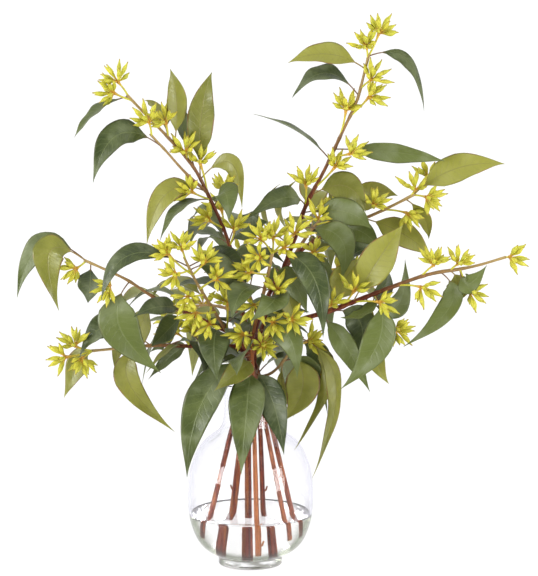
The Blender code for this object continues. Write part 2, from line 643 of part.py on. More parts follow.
def point_along(line, distance):
    """The point at a distance along a line."""
    for a, b in zip(line, line[1:]):
        length = (b - a).length
        if distance <= length:
            return a.lerp(b, distance / length)
        distance -= length
    return line[-1].copy()


def inner_leaves(stem, line):
    """Leaves low in the crown, all round the stem, that fill the middle."""
    draw = random.Random(stem + "inner")
    first = draw.uniform(0, 2 * math.pi)
    leaves = []
    for number in range(INNER_LEAVES):
        height = INNER_SPAN[0] + (INNER_SPAN[1] - INNER_SPAN[0]) * number / (INNER_LEAVES - 1)
        root = point_along(line[2:], height * MM)
        turn = first + number * GOLDEN_ANGLE
        out = (Vector((math.cos(turn), math.sin(turn), 0)) + Vector((root.x, root.y, 0)).normalized() * 0.5).normalized()
        length = draw.uniform(*INNER_LEAF_LENGTH) * MM
        middle = root + out * length * 0.45 + Z_AXIS * length * 0.30
        tip = root + out * length * 0.90 + Z_AXIS * length * draw.uniform(-0.25, 0.35)
        facing = (out * 0.5 + Z_AXIS).normalized()
        leaves.append((root, middle, tip, draw.uniform(*BACK_LEAF_WIDTH), draw.uniform(-40, 40), facing, "green"))
    return leaves


def planned_pieces(stem, lines):
    """Leaves and heads as the front view shows them."""
    centrelines = [line for line, _, _ in lines.values()]
    leaves, heads = [], []
    for place, middle, tip, width, roll, tone in STEMS[stem]["leaves"]:
        root = nearest_place(centrelines, place)
        depth = root.y / MM
        mid = seen(middle[0], middle[1], depth + middle[2])
        end = seen(tip[0], tip[1], depth + tip[2])
        leaves.append((root, mid, end, width, roll, LEAF_FACING, tone))
    for place, hub, aim in STEMS[stem]["heads"]:
        root = nearest_place(centrelines, place)
        centre = seen(hub[0], hub[1], root.y / MM + hub[2])
        heads.append((root, centre, Vector((aim[0], aim[2], -aim[1])).normalized()))
    return leaves, heads


def build_vase():
    outer = [(radius * MM, height * MM) for radius, height in VASE_OUTLINE]
    bowl = [point for point in inner_wall(VASE_OUTLINE, VASE_WALL) if point[1] > VASE_FLOOR + 8]
    inner = [(radius * MM, height * MM) for radius, height in bowl]
    rim_radius = (outer[-1][0] + inner[-1][0]) / 2
    rim = [(rim_radius, outer[-1][1] + 0.9 * MM)]
    floor = [(FLOOR_RADIUS * MM, VASE_FLOOR * MM), (0, VASE_FLOOR * MM)]
    points, faces = turned([(0, 0), *outer, *rim, *reversed(inner), *floor], TURNS)
    vase = add_object("vase", points, faces, "glass")
    vase.data.shade_smooth()
    return inner, (points, faces)


def build_water(inner, stems):
    """The water fills the bowl up to its level, with a plain hole for each stem that stands in it."""
    level = WATER_TOP * MM
    side = [(FLOOR_RADIUS * MM, VASE_FLOOR * MM)]
    for low, high in zip(inner, inner[1:]):
        if low[1] < level:
            side.append(low)
            share = (level - low[1]) / (high[1] - low[1])
            if share <= 1:
                side.append((low[0] + (high[0] - low[0]) * share, level))
    side = [(radius - GAP * 1.6, height) for radius, height in side]
    side[0] = (side[0][0], side[0][1] + GAP)
    points, faces = turned([(0, side[0][1]), *side, (0, level)], TURNS)
    water = add_object("water", points, faces, "water")
    holes = new_collection("holes")
    for stem in stems:
        line, radii, sides = lines_of(stem)["main"]
        wet = sum(point.z < level for point in line)
        start = line[0] + (line[0] - line[1]).normalized() * GAP
        share = wet / (len(line) - 1)
        ends = (radii[0], radii[0] + (radii[1] - radii[0]) * share)
        widened = [end * MM + GAP * 1.25 for end in ends]
        add_object("hole", *tube([start, *line[1 : wet + 1]], widened, sides), "water", holes)
    use_boolean(water, "DIFFERENCE", holes)


def build_stems(vase_wall):
    room = Room()
    room.add("vase", *vase_wall)
    lines = {stem: lines_of(stem) for stem in STEMS}
    wood, heads = {}, {}
    for stem, parts in lines.items():
        wood[stem] = [tube(line, [r * MM for r in radii], sides) for line, radii, sides in parts.values()]
        for points, faces in wood[stem]:
            room.add(stem, points, faces)
    plans = {stem: (planned_pieces(stem, parts), grown_pieces(stem, parts)) for stem, parts in lines.items()}
    for stem, (planned, grown) in plans.items():
        heads[stem] = []
        for number, (root, hub, aim) in enumerate(planned[1] + grown[1]):
            made = place_head(room, stem, root, hub, aim, stem + str(number))
            if made:
                heads[stem].append(made)
    inner = [(stem, leaf) for stem, parts in lines.items() for leaf in inner_leaves(stem, parts["main"][0])]
    planned = [(stem, leaf) for stem, (front, back) in plans.items() for leaf in front[0] + back[0]]
    leaves = {stem: [] for stem in STEMS}
    for stem, (root, middle, tip, width, roll, facing, tone) in planned + inner:
        made = place_leaf(room, stem, root, middle, tip, width, roll, facing)
        if made:
            leaves[stem].append((made, tone))
    for stem in STEMS:
        join_stem(stem, wood[stem], heads[stem], leaves[stem])
    placed = sum(len(made) for made in leaves.values())
    print(placed, "of", len(planned + inner), "leaves,", sum(len(made) for made in heads.values()), "heads")


def join_stem(stem, wood, heads, leaves):
    """One body: the wood with its twigs, leaves and heads of pods."""
    body = add_object(stem, *wood[0], "bark")
    pieces = new_collection(stem + "_pieces")
    for points, faces in wood[1:]:
        add_object("twig", points, faces, "bark", pieces)
    for points, faces in heads:
        add_object("head", points, faces, "pod", pieces)
    for (points, faces), tone in leaves:
        add_object("leaf", points, faces, "leaf_" + tone, pieces)
    use_boolean(body, "UNION", pieces)


for old in list(bpy.data.objects):
    bpy.data.objects.remove(old)
inner_profile, vase_surface = build_vase()
build_water(inner_profile, STEMS)
build_stems(vase_surface)
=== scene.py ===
import math
import random

import bmesh
import bpy
from mathutils import Matrix, Vector
from mathutils.kdtree import KDTree


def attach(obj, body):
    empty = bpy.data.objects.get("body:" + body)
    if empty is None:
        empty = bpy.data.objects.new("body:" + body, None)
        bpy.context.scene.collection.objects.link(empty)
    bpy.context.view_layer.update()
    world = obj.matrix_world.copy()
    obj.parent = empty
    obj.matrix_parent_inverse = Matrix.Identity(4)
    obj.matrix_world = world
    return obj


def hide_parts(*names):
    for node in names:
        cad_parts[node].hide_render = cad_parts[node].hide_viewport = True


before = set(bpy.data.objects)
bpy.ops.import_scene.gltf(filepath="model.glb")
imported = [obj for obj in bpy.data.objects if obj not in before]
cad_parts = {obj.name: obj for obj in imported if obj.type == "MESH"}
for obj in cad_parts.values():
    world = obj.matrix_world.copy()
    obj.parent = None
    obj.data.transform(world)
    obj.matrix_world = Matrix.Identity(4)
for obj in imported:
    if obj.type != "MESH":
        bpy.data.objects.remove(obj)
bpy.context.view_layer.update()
print("frame loaded:", len(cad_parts), "nodes")

mm = 0.001
up = Vector((0, 0, 1))

# The front view on which the stems are laid out: millimetres from its left and top, as the camera sees them
frontView = {
    "distance": 3500.0,
    "tilt": math.radians(9.0),
    "centreHeight": 300.0,
    "sheetCentre": (250.5, 270.1),
    "picture": 576,  # its longer side, and the point in it that the camera's middle falls on
    "pictureCentre": (269, 288),
    "sensor": 36,
}
viewTilt = frontView["tilt"]
sight = Vector((0, math.cos(viewTilt), -math.sin(viewTilt)))
sheetUp = Vector((0, math.sin(viewTilt), math.cos(viewTilt)))
viewCentre = Vector((0, 0, frontView["centreHeight"]))
eye = viewCentre - sight * frontView["distance"]
sheetCentre = Vector(frontView["sheetCentre"])

# Each stem: cut end and neck as x, y, z in millimetres; crown on the front view as across, down and depth.
# A twig: where it leaves the stem, then its course. A head of pods: root, hub and aim.
# A leaf: root, middle and tip, width, roll and, unless it is green, tone.
stemTall = {
    "node": "stem_tall",
    "thick": 3.0,
    "warmth": 0.1,
    "foot": [(-45, -23, 33), (-12, 6, 165), (-6, 8.5, 184)],
    "crown": [
        (253, 352, 10), (266, 318, 14), (281, 275, 14), (296, 236, 10), (305, 205, 6), (325, 170, 2),
        (344, 128, -2), (357, 103, -5), (364, 74, -8), (369, 54, -10),
    ],
    "twigs": {
        "back": [(281, 275), (300, 268, 45), (326, 270, 82), (352, 280, 112)],
    },
    "leaves": [
        ((363, 68), (328, 54, -6), (288, 63, -8), 25, 10, "olive"),
        ((359, 93), (325, 73, -10), (292, 98, -14), 22, 25),
        ((371, 54), (408, 60, -6), (424, 111, -10), 17, 68),
        ((327, 163), (297, 131, 0), (253, 114, -4), 20, 60),
        ((333, 152), (393, 152, -12), (445, 161, -16), 21, 50),
        ((305, 209), (284, 198, -16), (246, 219, -20), 26, 15),
        ((312, 192), (345, 186, -6), (366, 212, -10), 28, 15, "olive"),
        ((303, 213), (345, 212, -20), (371, 229, -30), 27, 12),
        ((299, 228), (340, 238, -38), (341, 280, -48), 27, 5),
        ((296, 236), (277, 208, 14), (297, 180, 12), 14, 60, "olive"),
        ((292, 246), (262, 214, 18), (280, 184, 14), 14, 65, "olive"),
        ((284, 268), (317, 262, -8), (336, 292, -14), 20, 45),
    ],
    "heads": [
        ((369, 54), (379, 33, 0), (0.25, -1, -0.2)), ((368, 58), (367, 47, -4), (-0.15, -1, -0.5)),
        ((363, 92), (371, 80, -6), (0.5, -0.85, -0.2)), ((351, 118), (369, 97, -8), (0.9, -0.45, -0.2)),
        ((341, 135), (346, 110, -6), (0.05, -1, -0.2)), ((315, 188), (335, 167, -10), (0.45, -0.85, -0.2)),
        ((330, 160), (350, 154, -16), (0.75, -0.6, -0.2)), ((304, 207), (306, 185, -12), (0, -1, -0.2)),
        ((301, 222), (318, 219, -14), (0.05, -1, -0.2)), ((290, 252), (314, 253, -20), (0.3, -0.4, -0.8)),
    ],
}
stemUpperLeft = {
    "node": "stem_upper_left",
    "thick": 2.7,
    "warmth": 0.25,
    "foot": [(47, -19, 33), (15, 9, 165), (9, 14, 184)],
    "crown": [
        (254, 352, 18), (243, 315, 16), (236, 275, 6), (230, 245, -4), (221, 222, -10), (207, 192, -16),
        (194, 166, -22), (168, 137, -28), (147, 116, -32), (127, 95, -36),
    ],
    "twigs": {
        "fork": [(207, 194), (185, 173, -26), (167, 152, -34), (150, 134, -38)],
        "back": [(243, 315), (222, 306, 48), (196, 305, 82), (168, 312, 106)],
    },
    "leaves": [
        ((120, 97), (98, 110, -6), (74, 138, -10), 22, 50),
        ((164, 146), (118, 135, -14), (93, 183, -22), 29, 8),
        ((170, 138), (155, 112, 12), (138, 101, 18), 20, 40, "olive"),
        ((172, 141), (171, 103, -4), (160, 71, -8), 20, 10, "olive"),
        ((193, 164), (180, 120, 10), (172, 93, 14), 20, 45),
        ((200, 176), (201, 118, -8), (212, 72, -10), 26, 0, "olive"),
        ((199, 176), (232, 164, 8), (243, 210, 4), 18, 15, "olive"),
        ((213, 203), (225, 193, -24), (229, 222, -38), 27, 0),
        ((205, 190), (168, 194, -10), (148, 246, -14), 25, 10, "olive"),
        ((210, 200), (180, 208, -16), (160, 241, -22), 20, 45),
        ((230, 248), (246, 228, 10), (268, 222, 14), 26, 20),
        ((229, 243), (202, 232, 14), (178, 241, 18), 20, 45),
    ],
    "heads": [
        ((127, 95), (118, 82, -3), (-0.25, -1, -0.2)), ((130, 99), (114, 93, -4), (-1, -0.2, -0.3)),
        ((150, 134), (147, 122, -4), (-0.5, -0.8, -0.2)), ((165, 135), (163, 124, -4), (-0.7, -0.6, -0.3)),
        ((190, 163), (183, 152, -4), (-0.5, -0.8, -0.3)), ((208, 194), (200, 163, -6), (0.1, -1, -0.3)),
        ((211, 200), (192, 192, -8), (-0.75, -0.6, -0.3)), ((215, 208), (224, 190, 10), (0.15, -1, 0.1)),
        ((222, 226), (209, 220, -10), (-0.8, -0.5, -0.3)), ((229, 243), (233, 230, -12), (0.1, -1, -0.2)),
        ((232, 255), (220, 260, -22), (-0.5, -0.2, -0.8)),
    ],
}
stemUpperRight = {
    "node": "stem_upper_right",
    "thick": 4.0,
    "warmth": 0.0,
    "foot": [(-2, 15, 15), (-3, 15.5, 165), (-3, 18, 184)],
    "crown": [
        (250, 352, 25), (258, 318, 34), (278, 275, 40), (305, 245, 38), (338, 229, 30), (373, 215, 20),
        (396, 204, 12), (415, 194, 6),
    ],
    "twigs": {
        "back": [(258, 318), (246, 285, 68), (232, 255, 98), (222, 222, 118)],
        "crest": [(290, 258), (308, 234, 62), (318, 222, 84), (330, 214, 104)],
    },
    "leaves": [
        ((415, 194), (455, 169, -8), (505, 164, -12), 28, 10, "olive"),
        ((408, 200), (417, 222, 4), (415, 246, 6), 15, 40, "olive"),
        ((365, 218), (401, 233, -8), (432, 257, -12), 26, 15, "olive"),
        ((345, 226), (368, 195, 8), (398, 196, 10), 26, 25, "olive"),
        ((330, 233), (358, 230, -16), (381, 251, -24), 24, 20),
        ((312, 242), (300, 222, 10), (281, 222, 14), 16, 40, "olive"),
    ],
    "heads": [
        ((385, 209), (373, 205, -8), (0.5, -0.8, -0.4)), ((410, 197), (415, 190, -4), (0.2, -1, -0.2)),
        ((415, 194), (426, 197, -2), (0.9, 0.3, -0.2)), ((385, 209), (407, 213, -8), (0.6, 0.7, -0.2)),
        ((415, 194), (431, 179, 2), (0.2, -1, 0)), ((345, 226), (339, 211, -6), (0.2, -1, 0)),
    ],
}
stemRight = {
    "node": "stem_right",
    "thick": 4.0,
    "warmth": 0.1,
    "foot": [(-22, 7, 15), (-5, -6, 165), (-2, -4.5, 184)],
    "crown": [
        (251, 355, -6), (262, 338, -14), (290, 322, -30), (331, 311, -44), (353, 302, -50), (397, 285, -54),
        (430, 273, -55), (470, 268, -52), (506, 257, -50),
    ],
    "twigs": {
        "low": [(249, 378), (262, 377, -5), (275, 372, -8), (291, 351, -20), (303, 337, -26)],
    },
    "leaves": [
        ((365, 298), (397, 306, 14), (405, 259, 16), 21, 30),
        ((440, 271), (450, 305, -8), (401, 346, -12), 23, 20),
        ((455, 269), (468, 284, -10), (487, 265, -14), 20, 20),
        ((447, 270), (460, 286, 4), (451, 304, 6), 24, 15, "olive"),
        ((374, 294), (389, 340, -14), (358, 394, -20), 31, 10),
        ((322, 313), (345, 345, -18), (370, 392, -24), 22, 25),
        ((333, 311), (360, 322, -6), (358, 367, -8), 28, 15),
        ((380, 292), (372, 345, 8), (389, 384, 12), 24, 20, "olive"),
        ((381, 291), (364, 311, 4), (338, 314, 6), 18, 40),
        ((368, 296), (384, 287, 16), (386, 268, 20), 18, 40),
        ((336, 309), (345, 280, 10), (362, 258, 14), 30, 15, "olive"),
        ((357, 300), (377, 262, -10), (403, 225, -6), 34, 0, "olive"),
        ((290, 353), (303, 385, -6), (284, 421, -8), 34, 5, "olive"),
        ((283, 364), (312, 368, -10), (326, 415, -14), 16, 45),
        ((299, 342), (330, 372, -2), (295, 450, -4), 20, 40, "olive"),
        ((303, 337), (338, 385, -14), (315, 478, -20), 20, 45, "olive"),
        ((297, 345), (318, 352, 8), (325, 387, 10), 22, 30),
        ((284, 362), (279, 390, 4), (289, 415, 6), 12, 50, "olive"),
    ],
    "heads": [
        ((506, 257), (509, 257, -1), (0.95, 0.15, -0.1)), ((425, 275), (434, 265, -4), (0.2, -1, -0.2)),
        ((448, 271), (458, 264, -4), (0.4, -0.9, -0.2)), ((455, 269), (470, 292, -6), (0.85, 0.5, -0.2)),
        ((397, 285), (421, 287, -8), (0.5, 0.6, -0.4)), ((353, 302), (379, 302, -10), (0.9, 0.15, -0.2)),
        ((342, 307), (354, 291, -8), (0.4, -0.9, -0.2)), ((372, 295), (395, 330, -4), (0.6, 0.1, -0.3)),
        ((318, 315), (331, 305, -12), (0.2, -0.9, -0.4)), ((291, 351), (308, 341, -6), (0.9, -0.2, -0.3)),
        ((303, 337), (304, 328, -3), (0.1, -1, -0.3)),
    ],
}
stemLeft = {
    "node": "stem_left",
    "thick": 2.7,
    "warmth": 0.35,
    "foot": [(37.5, -35, 33), (11, -13, 165), (5, -11.5, 184)],
    "crown": [
        (250, 355, -14), (238, 338, -24), (215, 325, -36), (185, 312, -46), (152, 297, -52), (130, 281, -54),
        (111, 272, -54), (84, 260, -52),
    ],
    "twigs": {
        "inner": [(225, 331), (215, 312, -52), (200, 289, -62), (190, 270, -66), (184, 257, -68)],
    },
    "leaves": [
        ((84, 260), (42, 246, 4), (17, 298, 2), 26, 10),
        ((84, 260), (50, 252, -10), (59, 311, -14), 32, 5, "olive"),
        ((92, 264), (90, 284, 8), (88, 303, 10), 24, 20),
        ((188, 266), (130, 255, -4), (101, 301, -8), 22, 15),
        ((130, 281), (119, 325, -10), (161, 373, -14), 38, 5),
        ((185, 311), (158, 306, -12), (131, 316, -16), 22, 15),
        ((150, 296), (140, 330, 14), (128, 362, 18), 26, 20, "olive"),
        ((191, 272), (214, 270, -16), (240, 301, -22), 26, 10),
        ((188, 266), (226, 262, -10), (250, 291, -14), 24, 15),
        ((219, 327), (214, 342, -24), (217, 381, -32), 31, 0),
        ((186, 312), (169, 329, 12), (151, 347, 16), 24, 15),
    ],
    "heads": [
        ((84, 260), (77, 268, 4), (-0.8, 0.4, 0.1)), ((111, 272), (110, 286, -4), (-0.7, 0.6, -0.2)),
        ((190, 272), (176, 274, -12), (-0.6, 0.1, -0.7)), ((203, 292), (188, 296, -12), (-0.3, 0.2, -0.9)),
        ((215, 312), (196, 313, -14), (-0.8, 0.1, -0.6)), ((184, 257), (182, 250, -4), (-0.1, -1, -0.3)),
        ((192, 274), (204, 263, -10), (0, -1, -0.3)), ((224, 330), (227, 303, -18), (0, -1, -0.4)),
        ((211, 306), (203, 322, -12), (-0.8, 0.1, -0.5)), ((200, 288), (216, 279, -14), (0.5, -0.5, -0.7)),
        ((192, 274), (168, 254, -6), (-0.6, -0.7, -0.3)),
    ],
}
stemLowerLeft = {
    "node": "stem_lower_left",
    "thick": 3.1,
    "warmth": 0.1,
    "amongPods": [2],  # the place in the list of a leaf that the solid has no room for
    "foot": [(14, 22, 16), (9, 0, 165), (6, 2, 184)],
    "crown": [
        (250, 357, 3), (236, 345, 6), (215, 347, 10), (190, 346, 12), (150, 345, 8), (112, 349, 2),
        (90, 351, 0),
    ],
    "twigs": {
        "back": [(236, 345), (243, 344, 42), (252, 338, 80), (264, 338, 112)],
    },
    "leaves": [
        ((130, 346), (104, 326, -6), (78, 356, -8), 28, 20),
        ((118, 348), (112, 330, 8), (84, 345, 12), 24, 25),
        ((92, 351), (80, 362, 12), (64, 398, 8), 25, 10, "olive"),
        ((150, 345), (122, 338, 6), (114, 374, 10), 24, 30, "olive"),
        ((146, 345), (127, 377, -8), (175, 432, -12), 25, 15, "olive"),
        ((192, 346), (175, 354, -4), (147, 383, -8), 20, 25),
        ((180, 346), (168, 350, -14), (146, 373, -18), 12, 45, "olive"),
        ((175, 346), (166, 342, 10), (150, 352, 14), 20, 20),
    ],
    "heads": [
        ((90, 351), (75, 346, -6), (-0.5, -1, -0.2)), ((90, 351), (66, 357, -10), (-1, 0.05, -0.2)),
        ((92, 351), (82, 358, -8), (0.1, 1, -0.3)), ((200, 347), (194, 332, -16), (-0.2, -0.9, -0.5)),
        ((190, 346), (177, 333, -16), (-0.8, -0.5, -0.4)),
    ],
}
stemFront = {
    "node": "stem_front",
    "thick": 2.9,
    "warmth": 1.0,
    "foot": [(7, -31, 20), (3, -18.5, 165), (2, -18, 184)],
    "crown": [
        (252, 360, -26), (252, 335, -40), (262, 300, -54), (270, 266, -58), (273, 250, -58),
    ],
    "twigs": {},
    "leaves": [
        ((273, 252), (312, 274, -14), (323, 338, -18), 27, 10),
        ((267, 282), (288, 282, -10), (305, 316, -14), 26, 10),
        ((263, 298), (266, 300, -30), (236, 321, -44), 28, 0),
        ((253, 333), (277, 335, -26), (287, 382, -32), 28, 5),
        ((265, 288), (281, 296, -14), (290, 340, -18), 26, 10, "olive"),
        ((252, 360), (240, 370, -22), (214, 391, -34), 24, 0, "olive"),
        ((252, 366), (247, 404, -30), (241, 475, -52), 35, 5),
        ((253, 366), (272, 400, -28), (284, 455, -46), 28, 15),
        ((251, 352), (204, 398, -22), (187, 478, -34), 34, 5),
    ],
    "heads": [
        ((270, 264), (260, 257, -16), (-0.4, -0.2, -0.9)), ((273, 252), (284, 248, -14), (0.4, -0.4, -0.8)),
        ((273, 250), (273, 238, -6), (0, -1, -0.3)), ((266, 284), (277, 290, -12), (0.1, -0.9, -0.5)),
        ((251, 345), (262, 345, -14), (0.3, 0.1, -0.9)), ((267, 275), (250, 272, -8), (-0.7, -0.2, -0.6)),
        ((272, 254), (258, 239, -10), (-0.5, -0.8, -0.4)), ((272, 256), (292, 235, -10), (0.4, -0.9, -0.3)),
        ((263, 296), (254, 305, -16), (-0.4, 0.4, -0.8)), ((257, 316), (273, 322, -16), (0.5, 0.4, -0.8)),
        ((253, 331), (244, 334, -18), (-0.4, 0.3, -0.8)), ((258, 312), (291, 319, -22), (0.6, 0, -0.6)),
    ],
}
stems = [stemTall, stemUpperLeft, stemUpperRight, stemRight, stemLeft, stemLowerLeft, stemFront]

# How leaves, heads and wood are built, in millimetres
foliage = {
    "facing": Vector((0, -0.86, 0.5)),
    "rootDepth": 2.2,
    "swings": (0, 8, -8, 16, -16, 25, -25, 36, -36, 50, -50),
    "tilts": (0, 9, -9, 18, -18, 30, -30),
    "tipMatch": 0.2,
}
backGrowth = {
    "twigs": ("back", "crest"),
    "leaves": 6,
    "heads": 2,
    "headReach": 19,
    "length": (70, 92),
    "width": (24, 31),
    "roll": (-25, 25),
    "middle": (0.52, 0.06),  # shares of the length, outwards and upwards
    "tip": 0.86,
    "droop": (0.25, 0.55),
    "olive": 0.4,
    "goldenAngle": math.radians(137.5),
}
innerGrowth = {
    "leaves": 4,
    "span": (8, 115),
    "length": (58, 80),
    "roll": (-40, 40),
    "middle": (0.45, 0.30),
    "tip": 0.90,
    "lift": (-0.25, 0.35),
}
turnsTried = sorted(
    ((s, t) for s in foliage["swings"] for t in foliage["tilts"]),
    key=lambda turn: abs(turn[0]) + 2.2 * abs(turn[1]),
)


def seen(across, down, depth):
    onSheet = viewCentre + Vector((across - sheetCentre.x, 0, 0)) + sheetUp * (sheetCentre.y - down)
    ray = onSheet - eye
    return (eye + ray * ((depth - eye.y) / ray.y)) * mm


def placeOnSheet(point):
    ray = point / mm - eye
    ray *= frontView["distance"] / ray.dot(sight)
    flat = eye + ray - viewCentre
    return Vector((sheetCentre.x + flat.x, sheetCentre.y - flat.dot(sheetUp)))


def nearestPlace(lines, place):
    best = None
    for line in lines:
        for a, b in zip(line, line[1:]):
            for step in range(5):
                point = a.lerp(b, step / 4)
                apart = (placeOnSheet(point) - Vector(place)).length
                if best is None or apart < best[0]:
                    best = (apart, point, line)
    point, line = best[1:]
    rootDepth = foliage["rootDepth"] * mm
    if (line[-1] - point).length < rootDepth:
        point = line[-1] + (line[-2] - line[-1]).normalized() * rootDepth
    return point


def linesOf(stem):
    route = [Vector(point) * mm for point in stem["foot"]] + [seen(*point) for point in stem["crown"]]
    lines = {"main": route}
    for name, twig in stem["twigs"].items():
        start = nearestPlace([route], twig[0])
        lines[name] = [start] + [seen(*point) for point in twig[1:]]
    return lines


def pointAlong(line, distance):
    for a, b in zip(line, line[1:]):
        length = (b - a).length
        if distance <= length:
            return a.lerp(b, distance / length)
        distance -= length
    return line[-1].copy()


def turnedAbout(root, points, swing, tilt):
    out = points[-1] - root
    level = Vector((out.y, -out.x, 0))
    if level.length < 1e-6:
        level = Vector((1, 0, 0))
    lift = Matrix.Rotation(math.radians(tilt), 3, level.normalized())
    turn = Matrix.Rotation(math.radians(swing), 3, "Z") @ lift
    return [root + turn @ (point - root) for point in points]


def frontPieces(stem, lines):
    centrelines = list(lines.values())
    leaves, heads = [], []
    for place, middle, tip, width, roll, *tone in stem["leaves"]:
        root = nearestPlace(centrelines, place)
        depth = root.y / mm
        mid = seen(middle[0], middle[1], depth + middle[2])
        end = seen(tip[0], tip[1], depth + tip[2])
        leaves.append((root, mid, end, width, roll, foliage["facing"], *(tone or ["green"])))
    for place, hub, aim in stem["heads"]:
        root = nearestPlace(centrelines, place)
        centre = seen(hub[0], hub[1], root.y / mm + hub[2])
        heads.append((root, centre, Vector((aim[0], aim[2], -aim[1])).normalized()))
    return leaves, heads


def backPieces(stem, lines):
    leaves, heads = [], []
    for name in backGrowth["twigs"]:
        if name not in lines:
            continue
        line = lines[name]
        draw = random.Random(stem["node"] + name)
        count = backGrowth["leaves"] + backGrowth["heads"]
        for number in range(count):
            place = 0.25 + 0.75 * number / (count - 1)
            step = min(int(place * (len(line) - 1)), len(line) - 2)
            root = line[step].lerp(line[step + 1], min(place * (len(line) - 1) - step, 0.8))
            along = (line[step + 1] - line[step]).normalized()
            side = along.orthogonal().normalized()
            turn = number * backGrowth["goldenAngle"] + draw.uniform(-0.3, 0.3)
            side = Matrix.Rotation(turn, 3, along) @ side
            out = (side + along * 0.7 + Vector((root.x, root.y, 0)).normalized() * 0.7).normalized()
            if number % 4 == 3:
                heads.append((root, root + out * backGrowth["headReach"] * mm, (out + up * 0.4).normalized()))
                continue
            length = draw.uniform(*backGrowth["length"]) * mm
            outwards, upwards = backGrowth["middle"]
            middle = root + out * length * outwards + up * length * upwards
            tip = root + out * length * backGrowth["tip"] - up * length * draw.uniform(*backGrowth["droop"])
            facing = (Vector((out.x, out.y, 0)) * 0.6 + up).normalized()
            width = draw.uniform(*backGrowth["width"])
            tone = "olive" if draw.random() < backGrowth["olive"] else "green"
            leaves.append((root, middle, tip, width, draw.uniform(*backGrowth["roll"]), facing, tone))
    return leaves, heads


def innerLeaves(stem, line):
    draw = random.Random(stem["node"] + "inner")
    first = draw.uniform(0, 2 * math.pi)
    low, high = innerGrowth["span"]
    leaves = []
    for number in range(innerGrowth["leaves"]):
        root = pointAlong(line[2:], (low + (high - low) * number / (innerGrowth["leaves"] - 1)) * mm)
        turn = first + number * backGrowth["goldenAngle"]
        outward = Vector((root.x, root.y, 0)).normalized() * 0.5
        out = (Vector((math.cos(turn), math.sin(turn), 0)) + outward).normalized()
        length = draw.uniform(*innerGrowth["length"]) * mm
        outwards, upwards = innerGrowth["middle"]
        middle = root + out * length * outwards + up * length * upwards
        tip = root + out * length * innerGrowth["tip"] + up * length * draw.uniform(*innerGrowth["lift"])
        facing = (out * 0.5 + up).normalized()
        width = draw.uniform(*backGrowth["width"])
        leaves.append((root, middle, tip, width, draw.uniform(*innerGrowth["roll"]), facing, "green"))
    return leaves


# The solid has each piece in the first free turn about its root, with its tip at one of the node's corners
def cornersOf(node):
    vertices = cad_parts[node].data.vertices
    tree = KDTree(len(vertices))
    for vertex in vertices:
        tree.insert(vertex.co, vertex.index)
    tree.balance()
    return tree


def isCorner(tree, point):
    return tree.find(point)[2] < foliage["tipMatch"] * mm


podPlan = {"hub": 2.4, "pods": 7, "length": (18.5, 24.5), "fillers": 4, "fillerLength": (14.0, 19.5)}


def podsOf(root, hub, aim, seed):
    draw = random.Random(seed)
    ball = bmesh.new()
    bmesh.ops.create_icosphere(ball, subdivisions=1, radius=podPlan["hub"] * mm)
    spin = Matrix.Rotation(draw.uniform(0, 2 * math.pi), 4, "Z")
    spin = spin @ Matrix.Rotation(draw.uniform(0, 0.6), 4, "X")
    turn = up.rotation_difference(aim).to_matrix().to_4x4()
    bmesh.ops.transform(ball, matrix=Matrix.Translation(hub) @ turn @ spin, verts=ball.verts)
    ball.normal_update()
    stalkWay = (root - hub).normalized()
    byStalk = max(ball.faces, key=lambda face: face.normal.dot(stalkWay))
    byAim = sorted((face for face in ball.faces if face != byStalk), key=lambda face: -face.normal.dot(aim))
    ways = [face.normal.lerp(aim, 0.12).normalized() for face in byAim[: podPlan["pods"]]]
    between = byAim[podPlan["pods"] : podPlan["pods"] + podPlan["fillers"]]
    fillers = [face.normal.lerp(aim, 0.3).normalized() for face in between]
    ball.free()
    pods = [(way, draw.uniform(*podPlan["length"]) * mm) for way in ways]
    return pods + [(way, draw.uniform(*podPlan["fillerLength"]) * mm) for way in fillers]


def placedHead(tree, root, hub, aim, seed):
    for swing, tilt in turnsTried:
        centre, end = turnedAbout(root, [hub, hub + aim * 10 * mm], swing, tilt)
        pods = podsOf(root, centre, (end - centre).normalized(), seed)
        if all(isCorner(tree, centre + way * length) for way, length in pods[:2]):
            return centre, pods
    return None


def placedLeaf(tree, root, middle, tip):
    for swing, tilt in turnsTried:
        mid, end = turnedAbout(root, [middle, tip], swing, tilt)
        if isCorner(tree, end):
            return mid, end
    return None


def addObject(name, data):
    thing = bpy.data.objects.new(name, data)
    bpy.context.scene.collection.objects.link(thing)
    return thing


def turnsOf(count):
    return [2 * math.pi * number / count for number in range(count)]


# Meshes are gathered as points, faces and marks: a mark is one value for each point that the materials read
def newBundle(*marks):
    return {"points": [], "faces": [], "marks": {mark: [] for mark in marks}}


def addRings(bundle, rings, marks, capStart=True, capEnd=True):
    start = len(bundle["points"])
    size = len(rings[0])
    for ring, values in zip(rings, marks):
        bundle["points"] += ring
        for mark, value in values.items():
            bundle["marks"][mark] += value if isinstance(value, list) else [value] * size
    for ring in range(len(rings) - 1):
        for corner in range(size):
            a = start + ring * size + corner
            b = start + ring * size + (corner + 1) % size
            bundle["faces"].append((a, b, b + size, a + size))
    if capStart:
        bundle["faces"].append(tuple(reversed(range(start, start + size))))
    if capEnd:
        bundle["faces"].append(tuple(range(len(bundle["points"]) - size, len(bundle["points"]))))


def makePiece(name, bundle, material, node):
    mesh = bpy.data.meshes.new(name)
    mesh.from_pydata(bundle["points"], [], bundle["faces"])
    for mark, values in bundle["marks"].items():
        layer = mesh.attributes.new(mark, "FLOAT", "POINT")
        layer.data.foreach_set("value", values)
    mesh.materials.append(material)
    mesh.shade_smooth()
    piece = addObject(name, mesh)
    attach(piece, "root")
    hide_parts(node)


